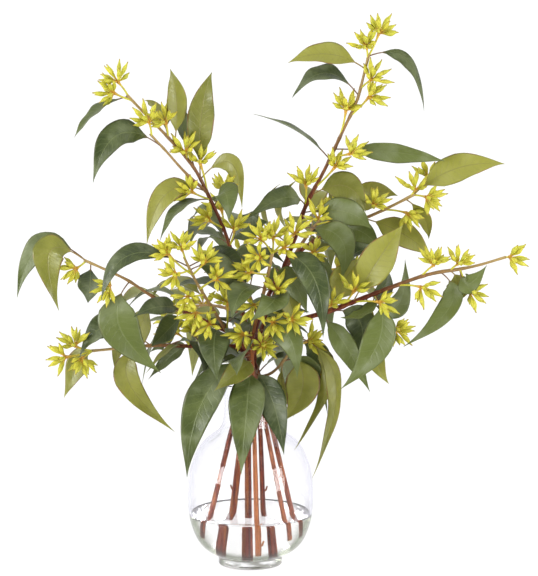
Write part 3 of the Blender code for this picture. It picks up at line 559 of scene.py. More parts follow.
# A framed line: points with a side direction that turns as little as it can
def framed(line):
    frames = []
    side = None
    for index, centre in enumerate(line):
        along = (line[min(index + 1, len(line) - 1)] - line[max(index - 1, 0)]).normalized()
        if side is None:
            side = along.orthogonal()
        side = (side - along * side.dot(along)).normalized()
        frames.append((centre, side.copy(), along.cross(side)))
    return frames


def rounded(line, rounds=3):
    for _ in range(rounds):
        cut = [line[0]]
        for a, b in zip(line, line[1:]):
            cut += [a.lerp(b, 0.25), a.lerp(b, 0.75)]
        line = [*cut, line[-1]]
    return line


def evenly(line, step):
    total = sum((b - a).length for a, b in zip(line, line[1:]))
    count = max(2, round(total / step))
    return [pointAlong(line, total * index / count) for index in range(count)] + [line[-1].copy()]


print("layout ready:", len(stems), "stems")


# Shader helpers: a key such as i0 is a socket's place, any other key its name
def setInput(node, key, value):
    socket = node.inputs[int(key[1:])] if key[:1] == "i" and key[1:].isdigit() else node.inputs[key]
    if isinstance(value, bpy.types.NodeSocket):
        node.id_data.links.new(value, socket)
    elif isinstance(value, tuple) and socket.type == "RGBA" and len(value) == 3:
        socket.default_value = (*value, 1)
    else:
        socket.default_value = value


def setInputs(node, values):
    for key, value in values.items():
        setInput(node, key.replace("_", " "), value)
    return node


def addNode(tree, kind, settings=None, **inputs):
    node = tree.nodes.new("ShaderNode" + kind)
    for key, value in (settings or {}).items():
        setattr(node, key, value)
    return setInputs(node, inputs)


def fromValues(kind, settings, *values):
    tree = next(value.id_data for value in values if isinstance(value, bpy.types.NodeSocket))
    node = addNode(tree, kind, settings)
    for index, value in enumerate(values):
        setInput(node, "i" + str(index), value)
    return node.outputs[0]


def calc(operation, *values):
    return fromValues("Math", {"operation": operation}, *values)


def times(first, second):
    return calc("MULTIPLY", first, second)


def plus(first, second):
    return calc("ADD", first, second)


def ramp(value, low, high, toLow=0.0, toHigh=1.0):
    return fromValues("MapRange", {"interpolation_type": "SMOOTHSTEP"}, value, low, high, toLow, toHigh)


def blend(amount, first, second):
    node = addNode(amount.id_data, "Mix", {"data_type": "RGBA"}, i0=amount, i6=first, i7=second)
    return node.outputs[2]


def layered(colour, *layers):
    for amount, over in layers:
        colour = blend(amount, colour, over)
    return colour


def mark(tree, name):
    return addNode(tree, "Attribute", {"attribute_name": name}).outputs["Fac"]


def placeOf(tree):
    return addNode(tree, "TexCoord").outputs["Object"]


def heightOf(tree):
    return addNode(tree, "SeparateXYZ", Vector=placeOf(tree)).outputs["Z"]


def noiseOf(tree, scale, detail=3.0, stretch=None):
    place = placeOf(tree)
    if stretch:
        place = addNode(tree, "Mapping", Vector=place, Scale=stretch).outputs[0]
    return addNode(tree, "TexNoise", Vector=place, Scale=scale, Detail=detail).outputs["Fac"]


def newGroup(name, inputs, outputs):
    tree = bpy.data.node_groups.new(name, "ShaderNodeTree")
    for label, value in inputs.items():
        kind = "NodeSocketColor" if isinstance(value, tuple) else "NodeSocketFloat"
        socket = tree.interface.new_socket(label, in_out="INPUT", socket_type=kind)
        socket.default_value = (*value, 1) if isinstance(value, tuple) else value
    for label, kind in outputs.items():
        tree.interface.new_socket(label, in_out="OUTPUT", socket_type="NodeSocket" + kind)
    return tree, tree.nodes.new("NodeGroupInput").outputs, tree.nodes.new("NodeGroupOutput")


def useGroup(tree, group, **values):
    return setInputs(addNode(tree, "Group", {"node_tree": group}), values).outputs


def newMaterial(name, **values):
    material = bpy.data.materials.new(name)
    material.use_nodes = True
    shader = material.node_tree.nodes["Principled BSDF"]
    return material, material.node_tree, setInputs(shader, values)


def finishSurface(shader, colour, roughness, height, strength, distance):
    bump = addNode(shader.id_data, "Bump", Strength=strength, Distance=distance, Height=height)
    setInput(shader, "Base Color", colour)
    setInput(shader, "Roughness", roughness)
    setInput(shader, "Normal", bump.outputs[0])


# Speckles: small dots on pods and twigs
speckle, given, out = newGroup("speckle", {"Size": 900.0, "Amount": 0.5}, {"Mask": "Float"})
dots = addNode(speckle, "TexVoronoi", Vector=placeOf(speckle), Scale=given["Size"])
drawn = addNode(speckle, "SeparateColor", Color=dots.outputs["Color"])
isDot = calc("LESS_THAN", drawn.outputs[0], given["Amount"])
dotShape = ramp(dots.outputs["Distance"], 0.35, 0.15)
setInput(out, "Mask", times(isDot, dotShape))

# The pale patch colour of each finish and its strength are a painted satin sheen
leafFinishes = {
    "green": {
        "Deep": (0.017, 0.030, 0.004), "Light": (0.094, 0.120, 0.022), "Rib": (0.15, 0.18, 0.06),
        "Edge": (0.12, 0.09, 0.03), "Stalk": (0.16, 0.08, 0.04), "Under": (0.150, 0.175, 0.080),
        "Bloom": (0.20, 0.23, 0.12), "Rib strength": 0.42, "Edge strength": 0.30, "Bloom strength": 0.42,
        "Vein strength": 0.15,
    },
    "olive": {
        "Deep": (0.118, 0.128, 0.012), "Light": (0.235, 0.235, 0.030), "Rib": (0.18, 0.16, 0.04),
        "Edge": (0.22, 0.07, 0.03), "Stalk": (0.26, 0.17, 0.05), "Under": (0.27, 0.29, 0.10),
        "Bloom": (0.33, 0.33, 0.10), "Rib strength": 0.55, "Edge strength": 0.80, "Bloom strength": 0.25,
        "Vein strength": 0.24,
    },
}
# Leaf blade: midrib, side veins, blotches, paler underside, a tinted edge and pale patches of painted satin
# sheen
blade, given, out = newGroup(
    "leafBlade",
    {**leafFinishes["green"], "Veins": 15.0},
    {"Colour": "Color", "Height": "Float", "Dull": "Float"},
)
across, along, tone, under = (mark(blade, name) for name in ("across", "along", "tone", "under"))
offRib = calc("ABSOLUTE", across)
ribMask = ramp(offRib, 0.06, 0.015)
slant = calc("SUBTRACT", times(along, given["Veins"]), times(offRib, 1.6))
wander = times(noiseOf(blade, 120.0, 3.0), 1.1)
phase = calc("FRACT", plus(slant, wander))
fromVein = calc("ABSOLUTE", calc("SUBTRACT", phase, 0.5))
veinMask = times(ramp(fromVein, 0.13, 0.02), ramp(offRib, 0.98, 0.75))
fineNet = ramp(noiseOf(blade, 1500.0, 2.0), 0.35, 0.65)
patches = noiseOf(blade, 55.0, 3.0)
shift = plus(times(patches, 0.9), times(tone, 0.85))
# Painted highlight: pale patches of satin sheen over the blade's colour
paintedSheenPlace = times(ramp(noiseOf(blade, 38.0, 4.0), 0.46, 0.68), given["Bloom strength"])
rimNoise = ramp(noiseOf(blade, 70.0, 2.0), 0.42, 0.62)
rim = times(ramp(offRib, 0.86, 0.99), times(rimNoise, given["Edge strength"]))
body = layered(
    blend(ramp(shift, 0.35, 1.25), given["Deep"], given["Light"]),
    (times(fineNet, 0.10), given["Rib"]),
    (times(veinMask, given["Vein strength"]), given["Rib"]),
    (paintedSheenPlace, given["Bloom"]),
    (times(under, 0.62), given["Under"]),
    (times(ribMask, given["Rib strength"]), given["Rib"]),
    (rim, given["Edge"]),
    (ramp(along, 0.20, 0.12), given["Stalk"]),
)
height = plus(times(ribMask, -0.8), times(veinMask, -0.4))
height = plus(height, times(noiseOf(blade, 36.0, 2.0), 8.0))
setInput(out, "Colour", body)
setInput(out, "Height", plus(height, times(fineNet, 0.12)))
setInput(out, "Dull", ramp(patches, 0.3, 0.7, 0.34, 0.50))

leafMaterials = {}
for finish, values in leafFinishes.items():
    material, tree, shader = newMaterial(
        finish + "Leaf", Sheen_Weight=0.05, Sheen_Roughness=0.45, Specular_IOR_Level=0.28
    )
    face = useGroup(tree, blade, **values)
    finishSurface(shader, face["Colour"], face["Dull"], face["Height"], 0.45, 0.0005)
    leafMaterials[finish] = material

podFinish = {
    "root": (0.54, 0.29, 0.040), "body": (0.64, 0.57, 0.055), "fresh": (0.41, 0.42, 0.040),
    "tip": (0.33, 0.23, 0.03), "spot": (0.22, 0.11, 0.025),
}
podMaterial, tree, shader = newMaterial("seedPod", Specular_IOR_Level=0.22)
reach, podTone, ridge = mark(tree, "reach"), mark(tree, "tone"), mark(tree, "ridge")
fresh = calc("SUBTRACT", plus(times(podTone, 0.5), 0.55), times(ridge, 0.55))
spots = useGroup(tree, speckle, Size=650.0, Amount=0.5)["Mask"]
podBody = layered(
    blend(fresh, podFinish["body"], podFinish["fresh"]),
    (ramp(reach, 0.42, 0.08), podFinish["root"]),
    (ramp(reach, 0.84, 1.0), podFinish["tip"]),
    (times(spots, 0.55), podFinish["spot"]),
)
podDull = ramp(noiseOf(tree, 300.0), 0.3, 0.7, 0.42, 0.62)
finishSurface(shader, podBody, podDull, noiseOf(tree, 900.0), 0.3, 0.0004)

barkFinish = {
    "groove": (0.030, 0.003, 0.003), "ridge": (0.140, 0.022, 0.011), "warm": (0.235, 0.074, 0.018),
    "young": (0.40, 0.29, 0.11), "cut": (0.42, 0.27, 0.14),
}
barkMaterial, tree, shader = newMaterial("bark", Specular_IOR_Level=0.18)
flute, ripe, warmth, cutEnd = (mark(tree, name) for name in ("flute", "ripe", "warmth", "cutEnd"))
streak = noiseOf(tree, 60.0, 4.0, (6.0, 6.0, 0.5))
fluteMix = plus(times(flute, 0.65), times(streak, 0.55))
stripes = times(ramp(noiseOf(tree, 40.0, 2.0, (5.0, 5.0, 0.25)), 0.44, 0.62), 0.75)
warmPlace = times(calc("MAXIMUM", warmth, stripes), ramp(fluteMix, 0.1, 0.7))
barkBody = layered(
    blend(ramp(fluteMix, 0.2, 1.0), barkFinish["groove"], barkFinish["ridge"]),
    (warmPlace, barkFinish["warm"]),
    (ripe, barkFinish["young"]),
    (cutEnd, barkFinish["cut"]),
)
barkGrain = noiseOf(tree, 220.0, 4.0, (1.0, 1.0, 0.2))
finishSurface(shader, barkBody, ramp(streak, 0.3, 0.7, 0.45, 0.62), barkGrain, 0.4, 0.0006)
print("leaf, pod and bark materials ready")


leafShape = {
    "rings": 26, "across": 10, "petioleEnd": 0.14, "petioleHalf": 0.75, "petioleTip": 0.6,
    "edgeHalf": 0.16, "ribHalf": 0.52, "ribWidth": 0.9, "fold": 0.20, "wave": 0.055, "mostWave": 1.5,
    "waves": (1.4, 3.0), "twist": 16.0, "openBy": 0.12, "stalkRound": 0.68,
    "profile": [
        (0.0, 0.0), (0.06, 0.24), (0.14, 0.62), (0.23, 0.92), (0.34, 1.02), (0.46, 1.03), (0.58, 0.90),
        (0.70, 0.68), (0.80, 0.44), (0.88, 0.235), (0.94, 0.10), (1.0, 0.0),
    ],
}


def halfWidth(share, width):
    stalk = leafShape["petioleHalf"]
    end = leafShape["petioleEnd"]
    if share <= end:
        return stalk + (leafShape["petioleTip"] - stalk) * share / end
    blade = (share - end) / (1 - end)
    swell = 0.0
    for (low, first), (high, second) in zip(leafShape["profile"], leafShape["profile"][1:]):
        if low <= blade <= high:
            swell = first + (second - first) * (blade - low) / (high - low)
    return max(leafShape["petioleTip"] * (1 - blade) ** 0.5, width / 2 * swell, 0.08)


def midrib(root, middle, tip, share):
    bend = middle * 2 - (root + tip) * 0.5
    point = root * (1 - share) ** 2 + bend * (2 * share * (1 - share)) + tip * share**2
    return point, ((bend - root) * (1 - share) + (tip - bend) * share).normalized()


def addLeaf(bundle, root, middle, tip, width, roll, facing, seed):
    draw = random.Random(seed)
    tone = draw.random()
    waves = [(draw.uniform(*leafShape["waves"]), draw.uniform(0, 2 * math.pi)) for _ in range(2)]
    size = min(leafShape["wave"] * width * draw.uniform(0.5, 1.3), leafShape["mostWave"])
    twist = draw.uniform(-1, 1) * leafShape["twist"]
    chord = (tip - root).normalized()
    rings, marks = [], []
    count = leafShape["across"]
    places = [-math.cos(math.pi * i / count) * 0.35 + (2 * i / count - 1) * 0.65 for i in range(count + 1)]
    for number in range(leafShape["rings"] + 1):
        share = number / leafShape["rings"]
        share = 0.5 * share + 0.5 * (1 - (1 - share) ** 1.6)
        centre, along = midrib(root, middle, tip, min(share, 1.0))
        along = along.lerp(chord, 0.25).normalized()
        normal = (facing - along * facing.dot(along)).normalized()
        normal = Matrix.Rotation(math.radians(roll + twist * (share - 0.45)), 3, along) @ normal
        side = normal.cross(along)
        half = halfWidth(share, width)
        blade = max(0.0, (share - leafShape["petioleEnd"]) / (1 - leafShape["petioleEnd"]))
        spread = min(1.0, blade / leafShape["openBy"])
        top, bottom = [], []
        for u in places:
            turns, phase = waves[0] if u < 0 else waves[1]
            swell = math.sin(math.pi * min(blade, 1)) ** 0.7
            wave = math.sin(2 * math.pi * turns * blade + phase) * size * u * u * swell
            rise = leafShape["fold"] * half * abs(u) ** 1.25 * spread + wave
            roundness = math.sqrt(max(0.0, 1 - u * u))
            rib = leafShape["ribHalf"] * (1 - 0.6 * blade)
            flat = leafShape["edgeHalf"] + rib * math.exp(-((u * half / leafShape["ribWidth"]) ** 2))
            thick = flat * spread + leafShape["stalkRound"] * roundness * (1 - spread)
            thick *= min(1.0, (1 - blade) * 6 + 0.25)
            base = centre + side * (u * half * mm) + normal * (rise * mm)
            most = leafShape["edgeHalf"] + 0.16 * (1 - spread) * 3
            upper = min(thick, most) if spread > 0.5 else thick
            top.append(base + normal * (upper * mm))
            bottom.append(base - normal * (thick * mm))
        ring = top + bottom[-2:0:-1]
        rings.append(ring)
        marks.append({
            "across": places + places[-2:0:-1],
            "along": share,
            "tone": tone,
            "under": [0.0] * len(top) + [1.0] * (len(ring) - len(top)),
        })
    for row in marks:
        row.update({key: value[::-1] for key, value in row.items() if isinstance(value, list)})
    addRings(bundle, [ring[::-1] for ring in rings], marks)


podShape = {
    "sides": 10, "ribs": 5, "ribDepth": 0.20, "stalkSides": 8, "stalkHalf": 0.95,
    "stalkSteps": 8, "stalkEnd": {7: 1.35, 8: 1.9}, "stalkBow": 0.04, "bend": 0.9, "horn": -0.45,
    "hornFrom": 0.7, "hornSpan": 0.3, "size": (0.88, 1.05),
    "profile": [
        (0.02, 1.1), (0.10, 0.80), (0.20, 0.78), (0.29, 0.98), (0.38, 1.45), (0.47, 1.95), (0.56, 2.28),
        (0.64, 2.30), (0.72, 2.00), (0.79, 1.50), (0.85, 1.05), (0.90, 0.80), (0.95, 0.64), (1.0, 0.36),
    ],
}


def addPod(bundle, hub, way, length, draw):
    side = way.orthogonal().normalized()
    side = Matrix.Rotation(draw.uniform(0, 2 * math.pi), 3, way) @ side
    other = way.cross(side)
    bendWay = side * draw.uniform(-1, 1) + other * draw.uniform(-1, 1)
    tone = draw.random()
    scale = draw.uniform(*podShape["size"])
    rings, marks = [], []
    for share, radius in podShape["profile"]:
        curl = bendWay * (math.sin(math.pi * share) * podShape["bend"] * mm)
        if share > podShape["hornFrom"]:
            turn = math.pi * (share - podShape["hornFrom"]) / podShape["hornSpan"]
            curl += bendWay * (math.sin(turn) * podShape["horn"] * mm)
        centre = hub + way * (length * share) + curl
        ring, ridges = [], []
        for turn in turnsOf(podShape["sides"]):
            ridge = 0.5 + 0.5 * math.cos(podShape["ribs"] * turn)
            depth = podShape["ribDepth"] * min(1.0, share / 0.3)
            reach = radius * scale * (1 - depth + depth * ridge * 1.6) * mm
            ring.append(centre + side * (math.cos(turn) * reach) + other * (math.sin(turn) * reach))
            ridges.append(ridge)
        rings.append(ring)
        marks.append({"reach": share, "tone": tone, "ridge": ridges})
    addRings(bundle, rings, marks)


def addHead(bundle, root, hub, pods, seed):
    draw = random.Random(seed + "pods")
    length = (hub - root).length
    way = (hub - root).normalized()
    level = way.orthogonal().normalized()
    steps = podShape["stalkSteps"]
    line = []
    for i in range(steps + 1):
        bow = math.sin(math.pi * i / steps) * length * podShape["stalkBow"]
        line.append(root.lerp(hub, i / steps) + level * bow)
    rings, marks = [], []
    for index, (centre, side, other) in enumerate(framed(line)):
        share = index / steps
        radius = podShape["stalkHalf"] * (1 + 0.35 * abs(1 - 2 * share) ** 3)
        radius = podShape["stalkEnd"].get(index, radius)
        ring = []
        for turn in turnsOf(podShape["stalkSides"]):
            ring.append(centre + (side * math.cos(turn) + other * math.sin(turn)) * radius * mm)
        rings.append(ring)
        marks.append({"reach": 0.42 - 0.34 * share**3, "tone": 0.5, "ridge": 0.5})
    addRings(bundle, rings, marks)
    for podWay, podLength in pods:
        addPod(bundle, hub, podWay, podLength, draw)


woodShape = {
    "step": 5.0, "sides": 16, "flutes": 6, "fluteDepth": 0.09, "stemTip": 1.3, "twig": (1.7, 1.1),
    "knot": 0.28, "knotReach": 3.5, "uneven": 0.03, "young": (0.70, 0.30), "nub": (1.2, 0.8),
}
# Short nubs of cut twigs low on the stems: stem, height of the root and turn about the stem
nubs = [("stem_right", 74, 190), ("stem_front", 28, -10), ("stem_lower_left", 70, -5), ("stem_left", 92, 15)]


def addWood(bundle, line, radii, roots, warmth, isStem, seed, ripening=(0.25, 0.6)):
    draw = random.Random(seed)
    path = evenly(rounded(line), woodShape["step"] * mm)
    phase = draw.uniform(0, 6)
    rings, marks = [], []
    for index, (centre, side, other) in enumerate(framed(path)):
        share = index / (len(path) - 1)
        radius = radii[0] + (radii[1] - radii[0]) * share
        near = min(((centre - root).length for root in roots), default=1.0)
        knot = woodShape["knot"] * math.exp(-((near / (woodShape["knotReach"] * mm)) ** 2))
        radius *= 1 + knot + draw.uniform(-woodShape["uneven"], woodShape["uneven"])
        ring, flutes = [], []
        for turn in turnsOf(woodShape["sides"]):
            flute = 0.5 + 0.5 * math.cos(woodShape["flutes"] * turn + phase + share * 5)
            reach = radius * (1 - woodShape["fluteDepth"] * (1 - flute)) * mm
            ring.append(centre + (side * math.cos(turn) + other * math.sin(turn)) * reach)
            flutes.append(flute)
        rings.append(ring)
        young = ripening[0] + ripening[1] * share
        if isStem:
            young = max(0.0, (share - woodShape["young"][0]) / woodShape["young"][1]) ** 1.2 * 0.9
        marks.append({"flute": flutes, "ripe": young, "warmth": warmth, "cutEnd": 0.0})
    addRings(bundle, rings, marks, capStart=False)
    tipRing = [path[0].lerp(point, 0.6) for point in rings[0]]
    below = (path[0] - path[1]).normalized() * 0.4 * mm
    ends = [[point + below for point in tipRing], [point.copy() for point in rings[0]]]
    cut = {"flute": 0.6, "ripe": 0.0, "warmth": warmth, "cutEnd": 1.0 if isStem else 0.0}
    addRings(bundle, ends, [cut] * 2, capEnd=False)


totalLeaves, totalHeads, missed = 0, 0, 0
for stem in stems:
    node = stem["node"]
    lines = linesOf(stem)
    front, back = frontPieces(stem, lines), backPieces(stem, lines)
    inner = innerLeaves(stem, lines["main"])
    tree = cornersOf(node)
    wood = newBundle("flute", "ripe", "warmth", "cutEnd")
    pods = newBundle("reach", "tone", "ridge")
    leaves = {finish: newBundle("across", "along", "tone", "under") for finish in leafMaterials}
    roots = []
    for number, (root, hub, aim) in enumerate(front[1] + back[1]):
        found = placedHead(tree, root, hub, aim, node + str(number))
        if found is None:
            missed += 1
            continue
        addHead(pods, root, *found, node + str(number))
        roots.append(root)
        totalHeads += 1
    for number, (root, middle, tip, width, roll, facing, finish) in enumerate(front[0] + back[0] + inner):
        found = placedLeaf(tree, root, middle, tip)
        if found is None and number in stem.get("amongPods", ()):
            found = (middle, tip)
        if found is None:
            missed += 1
            continue
        addLeaf(leaves[finish], root, *found, width, roll, facing, node + "leaf" + str(number))
        roots.append(root)
        totalLeaves += 1
    for name, line in lines.items():
        isStem = name == "main"
        radii = (stem["thick"], woodShape["stemTip"]) if isStem else woodShape["twig"]
        addWood(wood, line, radii, roots, stem["warmth"], isStem, node + name)
    for nubStem, height, turn in nubs:
        if nubStem == node:
            low, high = lines["main"][:2]
            root = low.lerp(high, (height * mm - low.z) / (high.z - low.z))
            way = Vector((math.cos(math.radians(turn)), math.sin(math.radians(turn)), 0))
            bend = root + (way * 4.2 + up * 2.2) * mm
            line = [root, bend, bend + (way * 0.6 + up * 4.0) * mm]
            addWood(wood, line, woodShape["nub"], [], stem["warmth"], False, node + "nub", (0, 0.1))
    makePiece(node + "_wood", wood, barkMaterial, node)
    makePiece(node + "_pods", pods, podMaterial, node)
    for finish, bundle in leaves.items():
        if bundle["faces"]:
            makePiece(node + "_" + finish + "_leaves", bundle, leafMaterials[finish], node)
print("stems grown:", totalLeaves, "leaves,", totalHeads, "heads,", missed, "not laid")


# Vase: radius and height of the outer wall, in millimetres
vaseShape = {
    "outline": [
        (31.6, 0.0), (32.6, 1.2), (32.6, 7.6), (34.0, 9.2), (43.2, 14.0), (51.4, 21.8), (57.4, 33.0),
        (62.0, 49.0), (63.5, 68.0), (62.6, 88.0), (60.0, 101.0), (55.0, 114.0), (47.8, 125.0),
        (38.6, 132.5), (31.0, 139.0), (27.6, 147.0), (26.4, 160.0), (26.6, 184.0),
    ],
    "footPoints": 3,  # how many points of the outline belong to the straight foot
    "wall": 2.2,
    "floor": 11.5,
    "floorPoints": [(0, 0), (14, 0), (25, 0.9)],  # radius and rise of the inside floor
    "turns": 96,
}
# The meniscus climbs the glass: its steps go inwards and down from its highest point
waterShape = {
    "top": 52.0,
    "overlap": 0.25,
    "meniscus": 0.9,
    "steps": [(-0.4, -0.42), (-1.2, -0.70), (-2.6, -0.87), (-5, -0.9)],
}


def curveThrough(points, steps):
    ends = [points[0] * 2 - points[1], *points, points[-1] * 2 - points[-2]]
    line = []
    for a, b, c, d in zip(ends, ends[1:], ends[2:], ends[3:]):
        for step in range(steps):
            t = step / steps
            near = 2 * b + (c - a) * t + (2 * a - 5 * b + 4 * c - d) * t**2
            line.append(0.5 * (near + (3 * b - a - 3 * c + d) * t**3))
    return [*line, points[-1].copy()]


def lathe(name, profile, material, node, turns):
    points, faces, rings = [], [], []
    for radius, height in profile:
        start = len(points)
        if radius < 1e-6:
            points.append(Vector((0, 0, height * mm)))
            rings.append([start] * turns)
            continue
        for turn in turnsOf(turns):
            points.append(Vector((radius * math.cos(turn), radius * math.sin(turn), height)) * mm)
        rings.append(list(range(start, start + turns)))
    for low, high in zip(rings, rings[1:]):
        for corner in range(turns):
            after = (corner + 1) % turns
            faces.append(tuple(dict.fromkeys((low[corner], low[after], high[after], high[corner]))))
    makePiece(name, {"points": points, "faces": faces, "marks": {}}, material, node)


outline = [Vector(point) for point in vaseShape["outline"]]
lower, upper = outline[: vaseShape["footPoints"]], outline[vaseShape["footPoints"] :]
bowl = curveThrough(upper, 5)
outer = lower + bowl
inner = []
for index, point in enumerate(bowl):
    way = (bowl[min(index + 1, len(bowl) - 1)] - bowl[max(index - 1, 0)]).normalized()
    moved = point + Vector((-way.y, way.x)) * vaseShape["wall"]
    if moved.y > vaseShape["floor"] + 5:
        inner.append(moved)
floorPoints = [Vector((radius, vaseShape["floor"] + rise)) for radius, rise in vaseShape["floorPoints"]]
floorLine = curveThrough([*floorPoints, inner[0]], 4)[:-1]
rimCentre = (outer[-1] + inner[-1]) / 2
rimHalf = (outer[-1].x - inner[-1].x) / 2
rimTurns = [math.pi * i / 8 for i in range(1, 8)]
rim = [rimCentre + Vector((math.cos(turn), math.sin(turn))) * rimHalf for turn in rimTurns]


# Clear glass lets light straight through to the floor, so that it casts no solid shadow
def letLightThrough(tree, shader, colour):
    clear = addNode(tree, "BsdfTransparent", Color=colour)
    isShadow = addNode(tree, "LightPath").outputs["Is Shadow Ray"]
    mixed = addNode(tree, "MixShader", i0=isShadow, i1=shader.outputs[0], i2=clear.outputs[0])
    tree.links.new(mixed.outputs[0], tree.nodes["Material Output"].inputs[0])


# Glass tints seen by camera rays only: the dry and wet tints, the wet edge band, the edge line and the base
# line are painted shade along the glass's edges and base, and the streak colour is painted shade in the thick
# foot; clear and through are the glass's own colour
glassFinish = {
    "clear": (0.99, 0.99, 1.0), "dryEdgeShade": (0.50, 0.49, 0.68), "wet": (0.70, 0.68, 0.55),
    "wetEdgeShade": (0.10, 0.115, 0.075), "streak": (0.15, 0.15, 0.125), "underside": (0.20, 0.19, 0.17),
    "edge": (0.16, 0.16, 0.19), "through": (0.97, 0.97, 0.98),
}
clearKind = {"Transmission_Weight": 1.0, "Roughness": 0.0, "Metallic": 0.0}
glassMaterial, tree, shader = newMaterial(
    "clearGlass", IOR=1.46, Specular_Tint=(0.35, 0.35, 0.35), **clearKind
)
edgeOn = addNode(tree, "LayerWeight", Blend=0.35).outputs["Facing"]
firstHit = addNode(tree, "LightPath").outputs["Is Camera Ray"]
heightAt = heightOf(tree)
wetWall = calc("LESS_THAN", heightAt, waterShape["top"] * mm)
foot = ramp(heightAt, 0.0095, 0.0080)
# Painted shade along the glass's edges: a lavender-grey tint above the water and a yellowish one below it, at
# grazing angles
paintedEdgeShade = blend(wetWall, glassFinish["dryEdgeShade"], glassFinish["wet"])
# Painted shade in the thick foot, in vertical streaks
paintedFootShade = ramp(noiseOf(tree, 45.0, 3.0, (1.0, 1.0, 5.0)), 0.40, 0.62)
glassTint = layered(
    glassFinish["clear"],
    (times(ramp(edgeOn, 0.10, 0.85), firstHit), paintedEdgeShade),
    # Painted shade: a dark green band along the edges of the wall below the water line
    (times(ramp(edgeOn, 0.25, 0.50), times(wetWall, firstHit)), glassFinish["wetEdgeShade"]),
    (times(times(foot, firstHit), paintedFootShade), glassFinish["streak"]),
    # Painted shade: a dark line along the bottom of the foot
    (times(ramp(heightAt, 0.0022, 0.0006), firstHit), glassFinish["underside"]),
    # Painted shade: a dark outline where the glass is seen edge-on
    (times(ramp(edgeOn, 0.76, 1.0), firstHit), glassFinish["edge"]),
)
setInput(shader, "Base Color", glassTint)
letLightThrough(tree, shader, glassFinish["through"])

# The surface colour is a painted reflection tint on the water's top
waterFinish = {
    "body": (0.985, 0.985, 0.965), "surface": (0.80, 0.79, 0.83), "through": (0.97, 0.97, 0.96),
}
waterMaterial, tree, shader = newMaterial(
    "clearWater", IOR=1.36, Specular_Tint=(0.5, 0.5, 0.5), **clearKind
)
surface = waterShape["top"]
atTop = ramp(heightOf(tree), (surface - 1.5) * mm, (surface - 0.5) * mm)
ripples = times(noiseOf(tree, 75.0, 2.0), atTop)
waterBump = addNode(tree, "Bump", Strength=0.5, Distance=0.0003, Height=ripples)
setInput(shader, "Normal", waterBump.outputs[0])
# Painted reflection: the top of the water is tinted grey-lavender in patches
paintedSurfaceReflection = times(atTop, ramp(noiseOf(tree, 55.0, 3.0), 0.35, 0.62, 0.45, 1.0))
setInput(shader, "Base Color", blend(paintedSurfaceReflection, waterFinish["body"], waterFinish["surface"]))
letLightThrough(tree, shader, waterFinish["through"])

vaseProfile = [(0, 0)] + [tuple(p) for p in [*outer, *rim, *reversed(inner), *reversed(floorLine)]]
lathe("vase_glass", vaseProfile, glassMaterial, "vase", vaseShape["turns"])

intoGlass = Vector((waterShape["overlap"], -waterShape["overlap"]))
wet = [point + intoGlass for point in floorLine + inner if point.y < surface]
wet[0] = Vector((0, wet[0].y))
above = next(point for point in floorLine + inner if point.y >= surface)
wallTop = Vector((wet[-1].x + (above.x - wet[-1].x) * 0.9, surface + waterShape["meniscus"]))
topCurve = [wallTop] + [wallTop + Vector(step) for step in waterShape["steps"]]
waterProfile = [tuple(p) for p in wet + topCurve] + [(0, surface)]
lathe("water_body", waterProfile, waterMaterial, "water", vaseShape["turns"])
print("vase and water turned")


# Floor, light and camera
# The floor is paler away from the vase: painted light that makes up for the lamps' falloff, so that the floor
# looks evenly white
floorPlan = {"half": 14.0, "below": 0.0003, "near": (0.82, 0.82, 0.82), "far": (0.98, 0.98, 0.98)}
floorMesh = bpy.data.meshes.new("floor")
corners = [
    (x * floorPlan["half"], y * floorPlan["half"], -floorPlan["below"])
    for x, y in ((-1, -1), (1, -1), (1, 1), (-1, 1))
]
floorMesh.from_pydata(corners, [], [(0, 1, 2, 3)])
floor = addObject("floor", floorMesh)
floorMaterial, tree, shader = newMaterial("paleFloor", Roughness=0.9, Specular_IOR_Level=0.1)
# Painted light: paler with distance from the vase
fromVase = addNode(tree, "VectorMath", {"operation": "LENGTH"}, i0=placeOf(tree))
paintedFalloffFill = ramp(fromVase.outputs["Value"], 0.3, 2.4)
setInput(shader, "Base Color", blend(paintedFalloffFill, floorPlan["near"], floorPlan["far"]))
floorMesh.materials.append(floorMaterial)

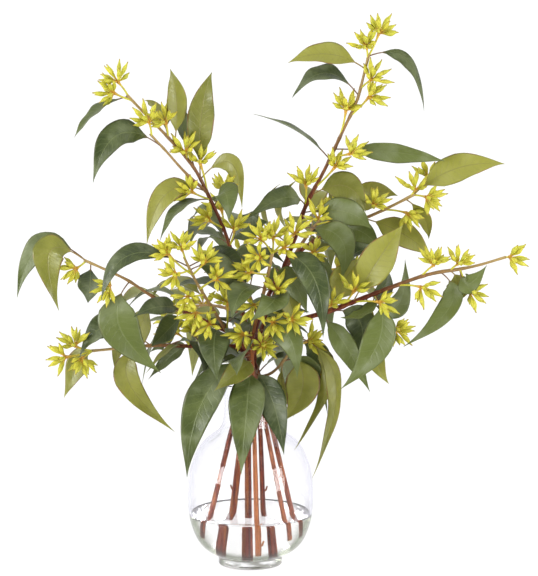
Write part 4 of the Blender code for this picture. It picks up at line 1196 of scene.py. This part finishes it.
# The white studio: how bright it is on each side, and the strength of its lamps
studio = {
    "back": 1.05, "zenith": 1.30, "side": 0.80, "front": 0.48,
    "left": 15.0, "right": 13.0, "top": 4.0, "glint": 19.0,
}
world = bpy.data.worlds.new("studio")
world.use_nodes = True
bpy.context.scene.world = world
tree = world.node_tree
background = tree.nodes["Background"]
skyPlace = addNode(tree, "SeparateXYZ", Vector=addNode(tree, "TexCoord").outputs["Generated"])
depthOf = skyPlace.outputs["Y"]
nearSide = ramp(depthOf, 0.15, -0.25, studio["back"], studio["side"])
nearFront = ramp(depthOf, -0.30, -0.80, 0.0, 1.0)
notFront = times(nearSide, calc("SUBTRACT", 1.0, nearFront))
lowSky = plus(notFront, times(nearFront, studio["front"]))
overhead = ramp(skyPlace.outputs["Z"], 0.42, 0.85)
notOverhead = times(lowSky, calc("SUBTRACT", 1.0, overhead))
setInput(background, "Strength", plus(notOverhead, times(overhead, studio["zenith"])))
background.inputs["Color"].default_value = (1, 1, 1, 1)


def addSoftbox(name, place, target, size, power, glossOnly=False):
    data = bpy.data.lights.new(name, "AREA")
    data.shape = "RECTANGLE"
    data.size, data.size_y = size
    data.energy = power
    lamp = addObject(name, data)
    lamp.location = place
    lamp.rotation_mode = "QUATERNION"
    lamp.rotation_quaternion = (Vector(target) - Vector(place)).to_track_quat("-Z", "Y")
    lamp.visible_diffuse = not glossOnly


# The glints show in the glass and on glossy pieces only
addSoftbox("softboxLeft", (-1.32, -0.70, 0.52), (0, 0, 0.2), (0.8, 0.64), studio["left"])
addSoftbox("softboxRight", (1.17, -0.94, 0.40), (0, 0, 0.2), (0.8, 0.80), studio["right"])
addSoftbox("glintLeft", (-1.30, -0.69, 0.52), (0, 0, 0.2), (0.79, 0.63), studio["glint"], True)
addSoftbox("glintRight", (1.15, -0.92, 0.40), (0, 0, 0.2), (0.79, 0.79), studio["glint"], True)
addSoftbox("softboxTop", (-0.5, -0.7, 1.8), (0, 0, 0.3), (1.2, 1.2), studio["top"])

cameraData = bpy.data.cameras.new("camera")
cameraData.lens = frontView["distance"] * frontView["sensor"] / frontView["picture"]
cameraData.shift_x = (frontView["pictureCentre"][0] - frontView["sheetCentre"][0]) / frontView["picture"]
cameraData.shift_y = -(frontView["pictureCentre"][1] - frontView["sheetCentre"][1]) / frontView["picture"]
camera = addObject("camera", cameraData)
camera.location = eye * mm
camera.rotation_euler = (math.pi / 2 - viewTilt, 0, 0)
bpy.context.scene.camera = camera
bpy.context.scene.view_settings.view_transform = "Standard"
# Light goes round inside the glass's edge many times before it leaves
paths = bpy.context.scene.cycles
paths.max_bounces, paths.glossy_bounces, paths.transmission_bounces = 32, 32, 32
print("floor, light and camera set")
